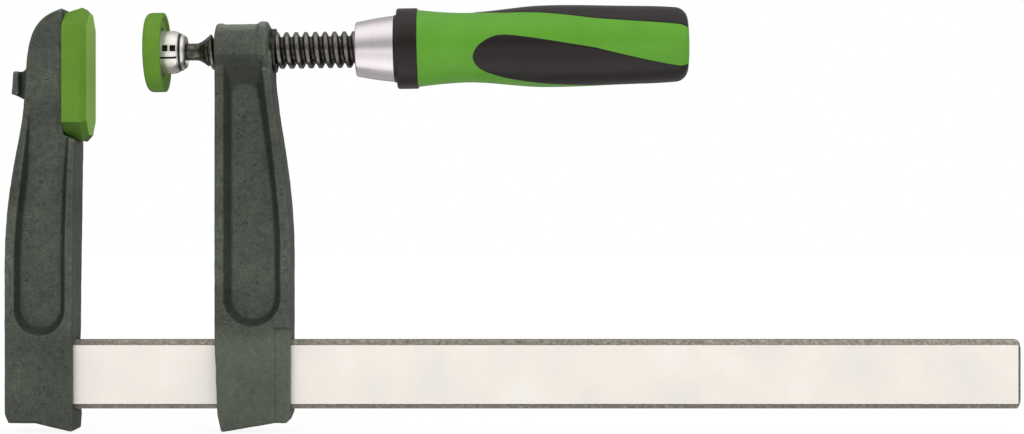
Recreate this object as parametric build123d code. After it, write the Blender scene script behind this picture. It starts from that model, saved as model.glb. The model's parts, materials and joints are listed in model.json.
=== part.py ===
from build123d import *
from math import cos, degrees, radians, sin, sqrt, tan
import os

# Screw clamp: a flat steel bar, a fixed cast arm, a sliding cast arm and a screw spindle.
# Millimetres. The origin is on the fixed jaw cap's clamping face, on the clamp's mid-plane.
# +X runs along the bar towards the handle, +Z points from the bar to the jaws.

# Bar
BAR_HEIGHT = 28.5
BAR_THICKNESS = 11.0
BAR_CHAMFER = 2.1
BAR_END_CHAMFER = 1.2
BAR_FREE_END = 386.0
THROAT_DEPTH = 120.0
BAR_HELD_LENGTH = 23.5
SLOT_CLEARANCE = 0.25
SOCKET_CLEARANCE = 0.05

# Both cast arms
ARM_WIDTH = 20.0
CAST_RADIUS = 1.2
POCKET_DEPTH = 4.5
RECESS_CROWN = 0.2
SOLE_REAR = 5.7
SOLE_TIP = 9.4
FOOT_CORNER = 1.6
OVERCUT = 2.0

# Fixed arm, as distances behind the clamping face
FIXED_THROAT_SETBACK = 5.0
FIXED_FOOT_SETBACK = 6.1
FIXED_BACK_LOW = 34.1
FIXED_BACK_SHOULDER = 30.8
FIXED_BACK_NECK = 26.3
FIXED_BACK_CROWN = 25.0
FIXED_CROWN_BEND_SETBACK = 19.0
FIXED_CROWN_BEND_DROP = 4.9
FIXED_HEAD_TOP = 17.3
FIXED_HEAD_SLOPE = 0.35
FIXED_NECK_DROP = 24.0
FIXED_SHOULDER_SHARE = 0.42
FIXED_SWELL_SHARE = 0.75
FIXED_SOLE_SLOPE = 15.4
FIXED_FOOT_LIP = 0.5
FIXED_POCKET_RISE = 1.6
FIXED_FLANGE_BACK = 3.8
FIXED_FLANGE_BACK_TOP = 2.8
FIXED_FLANGE_FRONT = 2.9
FIXED_FLANGE_FRONT_TOP = 1.8
FIXED_WALL_BACK = 1.9
FIXED_WALL_FRONT = 2.3
FIXED_WALL_BOTTOM = 3.6
FIXED_RAMP_LENGTH = 31.0

# Lug on the fixed arm's back
LUG_WIDTH = 12.0
LUG_WEB_WIDTH = 7.0
LUG_HEAD = 2.4
LUG_LEAN = 0.8
LUG_REACH = 5.0
LUG_TOP = -8.7
LUG_BOTTOM = -18.4
LUG_FLARE = 2.4

# Jaw seat and its cap
CAP_WIDTH = 24.4
CAP_TOP = 17.7
CAP_BOTTOM = -37.6
CAP_TOP_TAPER = 2.3
CAP_BOTTOM_TAPER = 2.7
CAP_CORNER_WIDE = 7.0
CAP_CORNER_TALL = 7.6
CAP_DEPTH = 10.0
CAP_BEVEL = 2.6
CAP_FACE_WALL = 4.0
CAP_SIDE_WALL = 2.3
CAP_CLEARANCE = 0.05

# Sliding arm
SLIDER_THROAT_X = 52.4
SLIDER_FOOT_SETBACK = 1.2
SLIDER_WIDTH_LOW = 31.5
SLIDER_WIDTH_SHOULDER = 29.1
SLIDER_WIDTH_NECK = 23.8
SLIDER_SHOULDER_SHARE = 0.42
SLIDER_SWELL_SHARE = 0.7
SLIDER_NECK_DROP = 12.0
SLIDER_FLANGE_THROAT = 3.4
SLIDER_FLANGE_BACK = 3.9
SLIDER_WALL_THROAT = 3.4
SLIDER_WALL_BACK = 2.8
SLIDER_POCKET_TOP = -5.2
SLIDER_SCOOP = 10.6
SLIDER_RIM_CROWN = 0.08
SLIDER_POCKET_RISE = 5.4
SLIDER_STEP_WIDTH = 6.9
SLIDER_STEP_DEPTH = 0.8

# Screw boss on the sliding arm
TOE_IN = 0.9
BOSS_RADIUS = 11.3
BOSS_LENGTH = 22.7
BOSS_RIM_RADIUS = 11.8
BOSS_RIM_LENGTH = 3.6
BOSS_COLLAR_RADIUS = 12.4
BOSS_COLLAR_LENGTH = 4.4
BOSS_EDGE = 0.8
BOSS_COLLAR_END_LENGTH = 1.5
BOSS_COLLAR_END_DEPTH = 2.8

# Spindle, ball joint and thread bush
THREAD_RADIUS = 7.65
NUT_WALL = 1.2
NUT_SETBACK = 1.0
NUT_FLANGE_RADIUS = 9.2
NUT_FLANGE_LENGTH = 2.2
NUT_FLANGE_EDGE = 0.4
NUT_GROOVE_START = 0.6
NUT_GROOVE_LENGTH = 0.5
NUT_GROOVE_DEPTH = 0.8
RUNNING_CLEARANCE = 0.10
NECK_RADIUS = 3.55
BALL_RADIUS = 5.0
BALL_TO_FLARE = 10.0
FLARE_LENGTH = 6.5
FLARE_HOLLOW = 0.38
SHANK_RADIUS = 6.0
SHANK_FLAT = 5.0
SHANK_LENGTH = 106.0
SHANK_EDGE = 1.0
SHANK_DROP_IN = 5.3

# Swivel pad
PAD_GAP = 23.6
PAD_FACE_TO_BALL = 10.4
PAD_CAP_RADIUS = 16.5
PAD_CAP_THICKNESS = 7.4
PAD_CAP_EDGE = 2.0
PAD_CAP_FACE_WALL = 2.0
PAD_CAP_SIDE_WALL = 1.8
PAD_CAP_BACK_EDGE = 0.6
PAD_LIP_THICKNESS = 1.2
PAD_LIP_CLEARANCE = 0.5
PLATE_THICKNESS = 3.0
HUB_WALL = 1.0
CUP_WALL = 0.9
CUP_MOUTH_CLEARANCE = 0.3
SLEEVE_RADIUS = 8.95
SLEEVE_FLANGE_RADIUS = 9.7
SLEEVE_FLANGE_THICKNESS = 1.0
SLEEVE_SHOULDER = 0.5
SLEEVE_BODY_END = 3.0
SLEEVE_BODY_END_RADIUS = 8.0
SLEEVE_TAIL_RADIUS = 7.5
SLEEVE_TAIL_END_RADIUS = 6.35
SLEEVE_END = 5.8
SLEEVE_MOUTH_RADIUS = 5.1
SLEEVE_MOUTH_FLARE = 0.8
RING_GROOVE_LENGTH = 1.0
RING_GROOVE_RADIUS = 7.1
RING_THICKNESS = 0.65
SLEEVE_WINDOWS = 3
WINDOW_SETBACK = 1.3
WINDOW_LENGTH = 2.25
WINDOW_WIDTH = 2.6
WINDOW_BRIDGE = 0.85
WINDOW_ANGLE = 7.0
SLIT_LENGTH = 7.0
SLIT_WIDTH = 0.9
SLIT_ANGLE = -19.0

# Ferrule and handle
THREAD_VISIBLE = 33.0
FERRULE_LENGTH = 15.9
FERRULE_FRONT_RADIUS = 11.45
FERRULE_MID_RADIUS = 12.8
FERRULE_REAR_RADIUS = 13.75
FERRULE_FRONT_WALL = 2.0
FERRULE_WALL = 1.5
FERRULE_EDGE = 1.4
COLLAR_LENGTH = 9.95
COLLAR_RADIUS = 16.75
COLLAR_STEP_RADIUS = 14.0
COLLAR_STEP_LENGTH = 1.2
COLLAR_FRONT_EDGE = 0.7
COLLAR_BACK_EDGE = 0.4
CORE_RADIUS = 11.0
CORE_END_WALL = 6.0
HANDLE_SHELL_LENGTH = 112.2
SHELL_FRONT_RADIUS = 16.2
SHELL_WAIST_RADIUS = 14.7
SHELL_WAIST = 19.0
SHELL_BELLY_RADIUS = 17.05
SHELL_BELLY = 51.0
SHELL_FLANK_RADIUS = 16.5
SHELL_FLANK = 84.0
SHELL_TAIL_RADIUS = 15.6
SHELL_TAIL_ROUNDING = 5.5
SHELL_FRONT_SLOPE = -0.12
SHELL_TAIL_SLOPE = -0.09
INLAY_COUNT = 3
INLAY_DEPTH = 1.6
INLAY_TIP = 22.9
INLAY_FULL = 16.0
INLAY_TAPER_START = 50.0
INLAY_HALF_ANGLE = 38.4
INLAY_TAIL_HALF_ANGLE = 24.0
INLAY_START_ANGLE = -19.8
INLAY_TWIST_START = 9.5
INLAY_TWIST = -47.9
INLAY_CLEARANCE = 0.05
INLAY_TIP_SHARES = (0.18, 0.35, 0.55, 0.75, 1.0)
INLAY_TAIL_STEPS = 6

# Share of a quarter circle's radius between its middle and each of its straight sides
ARC_MIDDLE = 1 - sqrt(0.5)

# Places worked out from the sizes above
BAR_TOP = -THROAT_DEPTH
BAR_MIDDLE = BAR_TOP - BAR_HEIGHT / 2
BAR_BOTTOM = BAR_TOP - BAR_HEIGHT
BAR_START = -FIXED_FOOT_SETBACK - BAR_HELD_LENGTH
HALF_WIDTH = ARM_WIDTH / 2
BOSS_MIDDLE_X = SLIDER_THROAT_X + BOSS_LENGTH / 2
BALL_X = PAD_GAP + PAD_FACE_TO_BALL
BALL_Z = (BALL_X - BOSS_MIDDLE_X) * tan(radians(TOE_IN))

# Places along the spindle, measured from the ball's centre towards the handle
BOSS_START = (SLIDER_THROAT_X - BALL_X) / cos(radians(TOE_IN))
BOSS_END = BOSS_START + BOSS_LENGTH
NUT_END = BOSS_END + NUT_FLANGE_LENGTH
THREAD_START = BALL_TO_FLARE + FLARE_LENGTH
FERRULE_START = NUT_END + THREAD_VISIBLE
FERRULE_END = FERRULE_START + FERRULE_LENGTH
COLLAR_END = FERRULE_END + COLLAR_LENGTH
HANDLE_END = COLLAR_END + HANDLE_SHELL_LENGTH
CORE_START = FERRULE_START + FERRULE_FRONT_WALL
CORE_END = HANDLE_END - CORE_END_WALL
SHANK_START = CORE_START + SHANK_DROP_IN
CUP_INNER = BALL_RADIUS + RUNNING_CLEARANCE
CUP_OUTER = CUP_INNER + CUP_WALL
SEAT_RADIUS = CUP_OUTER + RUNNING_CLEARANCE
PLATE_FRONT = PAD_CAP_FACE_WALL - PAD_FACE_TO_BALL
PLATE_BACK = PLATE_FRONT + PLATE_THICKNESS
HUB_RADIUS = SEAT_RADIUS + HUB_WALL

SPINDLE_LINE = Location((BALL_X, 0, BALL_Z), (0, -TOE_IN, 0))
SIDE = Plane.XZ
BOTH_SIDES = (1, -1)


def slab(outline, width):
    """Solid of a closed side-view outline, with its width centred on the mid-plane."""
    return extrude(SIDE * make_face(outline), amount=width / 2, both=True)


def cast_slab(outline):
    """Slab of an arm's outline at the arms' width, with the casting's rounded edges."""
    body = slab(outline, ARM_WIDTH)
    sides = body.faces().sort_by(Axis.Y)
    return fillet(sides[0].edges() + sides[-1].edges(), CAST_RADIUS)


def polygon(*points):
    """Closed face through the given corners."""
    return make_face(Polyline(*points, close=True))


def turned(*points):
    """Solid turned about the spindle's axis from (place along the axis, radius) corners."""
    return revolve(polygon(*points), Axis.X)


def tube(start, end, inner, outer):
    """Plain tube about the spindle's axis."""
    return turned((start, inner), (end, inner), (end, outer), (start, outer))


def arc_height(radius, across):
    """Distance along the axis at which a sphere has the given radius across."""
    return sqrt(radius**2 - across**2)


def bar_section(grow):
    """Bevelled rectangle of the bar, in the bar's cross plane, grown all round."""
    face = Rectangle(BAR_THICKNESS + 2 * grow, BAR_HEIGHT + 2 * grow)
    return chamfer(face.vertices(), BAR_CHAMFER)


def bar_run(start, end, grow):
    """Length of the bar's section between two places along X."""
    plane = Plane(origin=(start, 0, BAR_MIDDLE), x_dir=(0, 1, 0), z_dir=(1, 0, 0))
    return extrude(plane * bar_section(grow), amount=end - start)


def bar():
    """Drawn flat steel with bevelled long edges and a bevelled free end."""
    body = bar_run(BAR_START, BAR_FREE_END, 0)
    free_end = body.faces().sort_by(Axis.X)[-1]
    return chamfer(free_end.edges(), BAR_END_CHAMFER)


def pocket(rim, floor):
    """Recess in both faces of an arm, with walls that slope from the rim to the floor.
    It reaches past the faces, to clear what stands out there."""
    cutters = []
    for side in BOTH_SIDES:
        face_plane = Plane(origin=(0, side * HALF_WIDTH, 0), x_dir=(1, 0, 0), z_dir=(0, -1, 0))
        floor_plane = Plane(
            origin=(0, side * (HALF_WIDTH - POCKET_DEPTH), 0), x_dir=(1, 0, 0), z_dir=(0, -1, 0)
        )
        outer = face_plane * make_face(rim)
        inner = floor_plane * make_face(floor)
        clearing = extrude(outer, amount=OVERCUT, dir=(0, side, 0))
        cutters.append(loft([outer, inner], ruled=True) + clearing)
    return cutters


def ramp(top, length):
    """Wedges in both faces of an arm that make a recess shallower towards its top."""
    wedges = []
    far = top + length
    for side in BOTH_SIDES:
        face = side * (HALF_WIDTH + OVERCUT)
        rim = side * HALF_WIDTH
        deep = side * (HALF_WIDTH - POCKET_DEPTH - OVERCUT)
        floor = side * (HALF_WIDTH - POCKET_DEPTH)
        outline = polygon(
            (face, top),
            (rim, top),
            (floor, top - length),
            (deep, top - length),
            (deep, far),
            (face, far),
        )
        wedges.append(extrude(Plane.YZ * outline, amount=BAR_FREE_END, both=True))
    return wedges


def pocket_outline(left, right, bottom, crown):
    """Recess outline between two sides given by points from low to high: straight up to the
    first point, then a smooth curve; with a round bottom and a top crowned by a share of its width."""
    radius = (right[0][0] - left[0][0]) / 2
    low_left = (left[0][0], bottom + radius)
    low_right = (right[0][0], bottom + radius)
    rise = crown * (right[-1][0] - left[-1][0])
    middle_top = ((left[-1][0] + right[-1][0]) / 2, left[-1][1] + rise)
    return [
        Line(low_left, left[0]),
        side_curve(left),
        ThreePointArc(left[-1], middle_top, right[-1]),
        side_curve(right),
        Line(right[0], low_right),
        ThreePointArc(low_right, (left[0][0] + radius, bottom), low_left),
    ]


def side_curve(points):
    """Curve through points that starts straight up and ends along its last chord."""
    last = (points[-1][0] - points[-2][0], points[-1][1] - points[-2][1])
    return Spline(*points, tangents=[(0, 1), last])


def octagon(inset, taper):
    """Jaw outline in the cross plane, drawn in by an inset all round and by a share of the taper."""
    half = CAP_WIDTH / 2 - inset
    top = CAP_TOP - inset
    bottom = CAP_BOTTOM + inset
    crest = top - taper * CAP_TOP_TAPER
    base = bottom + taper * CAP_BOTTOM_TAPER
    slope = sqrt(CAP_CORNER_WIDE**2 + CAP_CORNER_TALL**2)
    drawn_in = inset * (CAP_CORNER_WIDE + CAP_CORNER_TALL - slope) / CAP_CORNER_TALL
    wide = CAP_CORNER_WIDE - drawn_in
    tall = wide * CAP_CORNER_TALL / CAP_CORNER_WIDE
    return polygon(
        (half, top - tall),
        (half - wide, crest),
        (wide - half, crest),
        (-half, top - tall),
        (-half, bottom + tall),
        (wide - half, base),
        (half - wide, base),
        (half, bottom + tall),
    )


def across_at(x):
    """Cross plane at a place along X."""
    return Plane(origin=(x, 0, 0), x_dir=(0, 1, 0), z_dir=(1, 0, 0))


def seat_block(start, end, inset):
    """Octagonal block of the jaw's rear outline between two places along X."""
    return extrude(across_at(start) * octagon(inset, 1), amount=end - start)


def lug():
    """Small block on the fixed arm's back, on a narrower web that flares into the arm."""
    root = -FIXED_BACK_NECK + HALF_WIDTH / 2
    neck = -FIXED_BACK_NECK
    tip = neck - LUG_REACH
    inner = tip + LUG_HEAD
    web = [
        Line((root, LUG_TOP + LUG_FLARE), (neck, LUG_TOP + LUG_FLARE)),
        ThreePointArc(
            (neck, LUG_TOP + LUG_FLARE),
            (neck - ARC_MIDDLE * LUG_FLARE, LUG_TOP + ARC_MIDDLE * LUG_FLARE),
            (neck - LUG_FLARE, LUG_TOP),
        ),
        Line((neck - LUG_FLARE, LUG_TOP), (tip, LUG_TOP)),
        Line((tip, LUG_TOP), (tip, LUG_BOTTOM)),
        Line((tip, LUG_BOTTOM), (neck, LUG_BOTTOM - LUG_FLARE)),
        Line((neck, LUG_BOTTOM - LUG_FLARE), (root, LUG_BOTTOM - LUG_FLARE)),
        Line((root, LUG_BOTTOM - LUG_FLARE), (root, LUG_TOP + LUG_FLARE)),
    ]
    head = Polyline(
        (tip, LUG_TOP), (inner, LUG_TOP), (inner, LUG_BOTTOM), (tip - LUG_LEAN, LUG_BOTTOM), close=True
    )
    return slab(web, LUG_WEB_WIDTH) + slab(head, LUG_WIDTH)


def fixed_arm():
    """Cast arm at the end of the bar, with its jaw seat, lug and recesses."""
    sole = BAR_BOTTOM - SOLE_REAR
    tip = BAR_BOTTOM - SOLE_TIP
    throat = -FIXED_THROAT_SETBACK
    foot = -FIXED_FOOT_SETBACK
    step = CAP_BOTTOM + CAP_BOTTOM_TAPER - 2 * CAP_CLEARANCE
    step_fall = (CAP_DEPTH - FIXED_THROAT_SETBACK) * CAP_BOTTOM_TAPER / (CAP_DEPTH - CAP_BEVEL)
    seat_back = -CAP_DEPTH - CAP_CLEARANCE
    swell = (-FIXED_BACK_LOW, -FIXED_SWELL_SHARE * THROAT_DEPTH)
    shoulder = (-FIXED_BACK_SHOULDER, -FIXED_SHOULDER_SHARE * THROAT_DEPTH)
    neck = (-FIXED_BACK_NECK, -FIXED_NECK_DROP)
    crown = (-FIXED_BACK_CROWN, LUG_TOP + 2 * LUG_FLARE)
    lip = (foot + FIXED_FOOT_LIP, BAR_BOTTOM - SOLE_REAR / 2)
    corner_rise = sole + SOLE_TIP - SOLE_REAR
    outline = [
        Line((-FIXED_BACK_LOW, corner_rise), swell),
        Spline(swell, shoulder, neck, crown, tangents=[(0, 1), (0.08, 1)]),
        Spline(
            crown,
            (-FIXED_CROWN_BEND_SETBACK, FIXED_HEAD_TOP - FIXED_CROWN_BEND_DROP),
            (seat_back, FIXED_HEAD_TOP),
            tangents=[(0.12, 1), (1, FIXED_HEAD_SLOPE)],
        ),
        Line((seat_back, FIXED_HEAD_TOP), (seat_back, step)),
        Line((seat_back, step), (throat, step - step_fall)),
        Line((throat, step - step_fall), (foot, BAR_TOP)),
        Line((foot, BAR_TOP), (foot, BAR_BOTTOM)),
        Line((foot, BAR_BOTTOM), lip),
        Line(lip, (foot, tip)),
        Line((foot, tip), (foot - FIXED_SOLE_SLOPE, sole)),
        Line((foot - FIXED_SOLE_SLOPE, sole), (FOOT_CORNER - FIXED_BACK_LOW, sole)),
        Line((FOOT_CORNER - FIXED_BACK_LOW, sole), (-FIXED_BACK_LOW, corner_rise)),
    ]
    body = cast_slab(outline)
    ramp_top = LUG_BOTTOM - LUG_FLARE
    high = ramp_top - CAST_RADIUS
    outlines = []
    for back_in, front_in, rise in ((0, 0, 0), (FIXED_WALL_BACK, FIXED_WALL_FRONT, FIXED_WALL_BOTTOM)):
        back_side = [
            (swell[0] + FIXED_FLANGE_BACK + back_in, swell[1]),
            (shoulder[0] + FIXED_FLANGE_BACK + back_in, shoulder[1]),
            (neck[0] + FIXED_FLANGE_BACK_TOP + back_in, high),
        ]
        front_side = [
            (foot - FIXED_FLANGE_FRONT - front_in, swell[1]),
            (throat - FIXED_FLANGE_FRONT_TOP - front_in, high),
        ]
        outlines.append(
            pocket_outline(back_side, front_side, BAR_TOP + FIXED_POCKET_RISE + rise, RECESS_CROWN)
        )
    rim, floor = outlines
    for cutter, wedge in zip(pocket(rim, floor), ramp(ramp_top, FIXED_RAMP_LENGTH)):
        body -= cutter - wedge
    body += lug()
    body += seat_block(
        -CAP_DEPTH - SOLE_REAR, -CAP_FACE_WALL - CAP_CLEARANCE, CAP_SIDE_WALL + CAP_CLEARANCE
    )
    body -= bar_run(BAR_START - SOCKET_CLEARANCE, 0, SOCKET_CLEARANCE)
    return body


def fixed_jaw_cap():
    """Plastic cap with a bevelled octagonal face, wider at the face, pushed over the jaw seat."""
    rear = across_at(-CAP_DEPTH) * octagon(0, 1)
    widest = across_at(-CAP_BEVEL) * octagon(0, 0)
    face = across_at(0) * octagon(CAP_BEVEL, 0)
    body = loft([rear, widest], ruled=True) + loft([widest, face], ruled=True)
    return body - seat_block(-CAP_DEPTH - OVERCUT, -CAP_FACE_WALL, CAP_SIDE_WALL)


def boss_profile():
    """Screw boss, with a rim in front and a collar behind that slopes in to the bush."""
    rim_end = BOSS_START + BOSS_RIM_LENGTH
    collar_start = BOSS_END - BOSS_COLLAR_LENGTH
    return turned(
        (BOSS_START, 0),
        (BOSS_START, BOSS_RIM_RADIUS - BOSS_EDGE),
        (BOSS_START + BOSS_EDGE, BOSS_RIM_RADIUS),
        (rim_end - BOSS_EDGE, BOSS_RIM_RADIUS),
        (rim_end, BOSS_RADIUS),
        (collar_start - BOSS_EDGE, BOSS_RADIUS),
        (collar_start, BOSS_COLLAR_RADIUS),
        (BOSS_END - BOSS_COLLAR_END_LENGTH, BOSS_COLLAR_RADIUS),
        (BOSS_END, BOSS_COLLAR_RADIUS - BOSS_COLLAR_END_DEPTH),
        (BOSS_END, 0),
    )


def sliding_arm():
    """Cast arm that slides on the bar and carries the screw boss."""
    sole = BAR_BOTTOM - SOLE_REAR
    tip = BAR_BOTTOM - SOLE_TIP
    throat = SLIDER_THROAT_X
    back = throat + SLIDER_WIDTH_LOW
    neck_x = throat + SLIDER_WIDTH_NECK
    swell = (back, -SLIDER_SWELL_SHARE * THROAT_DEPTH)
    shoulder = (throat + SLIDER_WIDTH_SHOULDER, -SLIDER_SHOULDER_SHARE * THROAT_DEPTH)
    neck = (neck_x, -SLIDER_NECK_DROP)
    foot = throat + SLIDER_FOOT_SETBACK
    corner_rise = sole + SOLE_TIP - SOLE_REAR
    outline = [
        Line((throat, 0), (throat, BAR_TOP)),
        Line((throat, BAR_TOP), (foot, corner_rise)),
        Line((foot, corner_rise), (foot + FOOT_CORNER, tip)),
        Line((foot + FOOT_CORNER, tip), (back - SLIDER_STEP_WIDTH, sole)),
        Line((back - SLIDER_STEP_WIDTH, sole), (back - FOOT_CORNER, sole)),
        Line((back - FOOT_CORNER, sole), (back, corner_rise)),
        Line((back, corner_rise), swell),
        Spline(swell, shoulder, neck, tangents=[(0, 1), (-0.09, 1)]),
        Line(neck, (neck_x, 0)),
        Line((neck_x, 0), (throat, 0)),
    ]
    body = cast_slab(outline)
    outlines = []
    for throat_in, back_in, high, crown in (
        (0, 0, SLIDER_POCKET_TOP, SLIDER_RIM_CROWN),
        (SLIDER_WALL_THROAT, SLIDER_WALL_BACK, SLIDER_POCKET_TOP - SLIDER_SCOOP, RECESS_CROWN),
    ):
        throat_side = [
            (throat + SLIDER_FLANGE_THROAT + throat_in, swell[1]),
            (throat + SLIDER_FLANGE_THROAT + throat_in, high),
        ]
        back_side = [
            (swell[0] - SLIDER_FLANGE_BACK - back_in, swell[1]),
            (shoulder[0] - SLIDER_FLANGE_BACK - back_in, shoulder[1]),
            (neck_x - SLIDER_FLANGE_BACK - back_in, high),
        ]
        bottom = BAR_TOP + SLIDER_POCKET_RISE + throat_in
        outlines.append(pocket_outline(throat_side, back_side, bottom, crown))
    rim, floor = outlines
    body += SPINDLE_LINE * boss_profile()
    for cutter in pocket(rim, floor):
        body -= cutter
    step_height = THROAT_DEPTH + BAR_HEIGHT + SOLE_TIP
    for side in BOTH_SIDES:
        step = Box(SLIDER_STEP_WIDTH, SLIDER_STEP_DEPTH, step_height)
        body -= Pos(
            back - SLIDER_STEP_WIDTH / 2,
            side * (HALF_WIDTH - SLIDER_STEP_DEPTH / 2),
            BAR_TOP + SLIDER_POCKET_RISE - step_height / 2,
        ) * step
    nut_radius = THREAD_RADIUS + RUNNING_CLEARANCE + NUT_WALL
    spot_face = NUT_FLANGE_RADIUS + 2 * RUNNING_CLEARANCE
    body -= SPINDLE_LINE * tube(BOSS_START - OVERCUT, BOSS_END + OVERCUT, 0, nut_radius)
    body -= SPINDLE_LINE * tube(BOSS_END, NUT_END + OVERCUT, 0, spot_face)
    body -= bar_run(throat - OVERCUT, back + OVERCUT, SLOT_CLEARANCE)
    return body


def spindle_nut():
    """Threaded bush in the boss, with a grooved flange on the handle side."""
    inner = THREAD_RADIUS + RUNNING_CLEARANCE
    outer = inner + NUT_WALL
    groove_start = BOSS_END + NUT_GROOVE_START
    groove_end = groove_start + NUT_GROOVE_LENGTH
    groove_floor = NUT_FLANGE_RADIUS - NUT_GROOVE_DEPTH
    return SPINDLE_LINE * turned(
        (BOSS_START + NUT_SETBACK, inner),
        (BOSS_START + NUT_SETBACK, outer),
        (BOSS_END, outer),
        (BOSS_END, NUT_FLANGE_RADIUS),
        (groove_start, NUT_FLANGE_RADIUS),
        (groove_start, groove_floor),
        (groove_end, groove_floor),
        (groove_end, NUT_FLANGE_RADIUS),
        (NUT_END - NUT_FLANGE_EDGE, NUT_FLANGE_RADIUS),
        (NUT_END, NUT_FLANGE_RADIUS - NUT_FLANGE_EDGE),
        (NUT_END, inner),
    )


def spindle():
    """Screw with its ball, neck, run-out flare, thread cylinder and flatted shank."""
    ball_end = arc_height(BALL_RADIUS, NECK_RADIUS)
    shank_end = SHANK_START + SHANK_LENGTH
    flare_bend = (
        BALL_TO_FLARE + (1 - FLARE_HOLLOW) * FLARE_LENGTH,
        NECK_RADIUS + FLARE_HOLLOW * (THREAD_RADIUS - NECK_RADIUS),
    )
    outline = [
        ThreePointArc((-BALL_RADIUS, 0), (0, BALL_RADIUS), (ball_end, NECK_RADIUS)),
        Line((ball_end, NECK_RADIUS), (BALL_TO_FLARE, NECK_RADIUS)),
        ThreePointArc((BALL_TO_FLARE, NECK_RADIUS), flare_bend, (THREAD_START, THREAD_RADIUS)),
        Line((THREAD_START, THREAD_RADIUS), (SHANK_START, THREAD_RADIUS)),
        Line((SHANK_START, THREAD_RADIUS), (SHANK_START, SHANK_RADIUS)),
        Line((SHANK_START, SHANK_RADIUS), (shank_end - SHANK_EDGE, SHANK_RADIUS)),
        Line((shank_end - SHANK_EDGE, SHANK_RADIUS), (shank_end, SHANK_RADIUS - SHANK_EDGE)),
        Line((shank_end, SHANK_RADIUS - SHANK_EDGE), (shank_end, 0)),
        Line((shank_end, 0), (-BALL_RADIUS, 0)),
    ]
    body = revolve(make_face(outline), Axis.X)
    for side in BOTH_SIDES:
        waste = Box(SHANK_LENGTH, 2 * SHANK_RADIUS, SHANK_RADIUS)
        body -= Pos(
            SHANK_START + SHANK_LENGTH / 2, 0, side * (SHANK_FLAT + SHANK_RADIUS / 2)
        ) * waste
    return SPINDLE_LINE * body


def ball_cup():
    """Bearing shell round the ball, open where the neck comes out."""
    mouth = NECK_RADIUS + CUP_MOUTH_CLEARANCE
    inner_end = arc_height(CUP_INNER, mouth)
    outer_end = arc_height(CUP_OUTER, mouth + CUP_WALL / 2)
    outline = [
        ThreePointArc((-CUP_INNER, 0), (0, CUP_INNER), (inner_end, mouth)),
        Line((inner_end, mouth), (outer_end, mouth + CUP_WALL / 2)),
        ThreePointArc((outer_end, mouth + CUP_WALL / 2), (0, CUP_OUTER), (-CUP_OUTER, 0)),
        Line((-CUP_OUTER, 0), (-CUP_INNER, 0)),
    ]
    return SPINDLE_LINE * revolve(make_face(outline), Axis.X)


def pressure_plate():
    """Steel disc with a hub whose hollow takes the front half of the bearing shell."""
    rim = PAD_CAP_RADIUS - PAD_CAP_SIDE_WALL
    outline = [
        Line((PLATE_FRONT, 0), (PLATE_FRONT, rim)),
        Line((PLATE_FRONT, rim), (PLATE_BACK, rim)),
        Line((PLATE_BACK, rim), (PLATE_BACK, HUB_RADIUS)),
        Line((PLATE_BACK, HUB_RADIUS), (0, HUB_RADIUS)),
        Line((0, HUB_RADIUS), (0, SEAT_RADIUS)),
        ThreePointArc(
            (0, SEAT_RADIUS),
            (-SEAT_RADIUS * sqrt(0.5), SEAT_RADIUS * sqrt(0.5)),
            (-SEAT_RADIUS, 0),
        ),
        Line((-SEAT_RADIUS, 0), (PLATE_FRONT, 0)),
    ]
    return SPINDLE_LINE * revolve(make_face(outline), Axis.X)


def bent(start, end, share):
    """Arc between two points that bulges past their chord by a share of its box."""
    middle = (
        start[0] + (0.5 + share) * (end[0] - start[0]),
        start[1] + (0.5 - share) * (end[1] - start[1]),
    )
    return ThreePointArc(start, middle, end)


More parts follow.
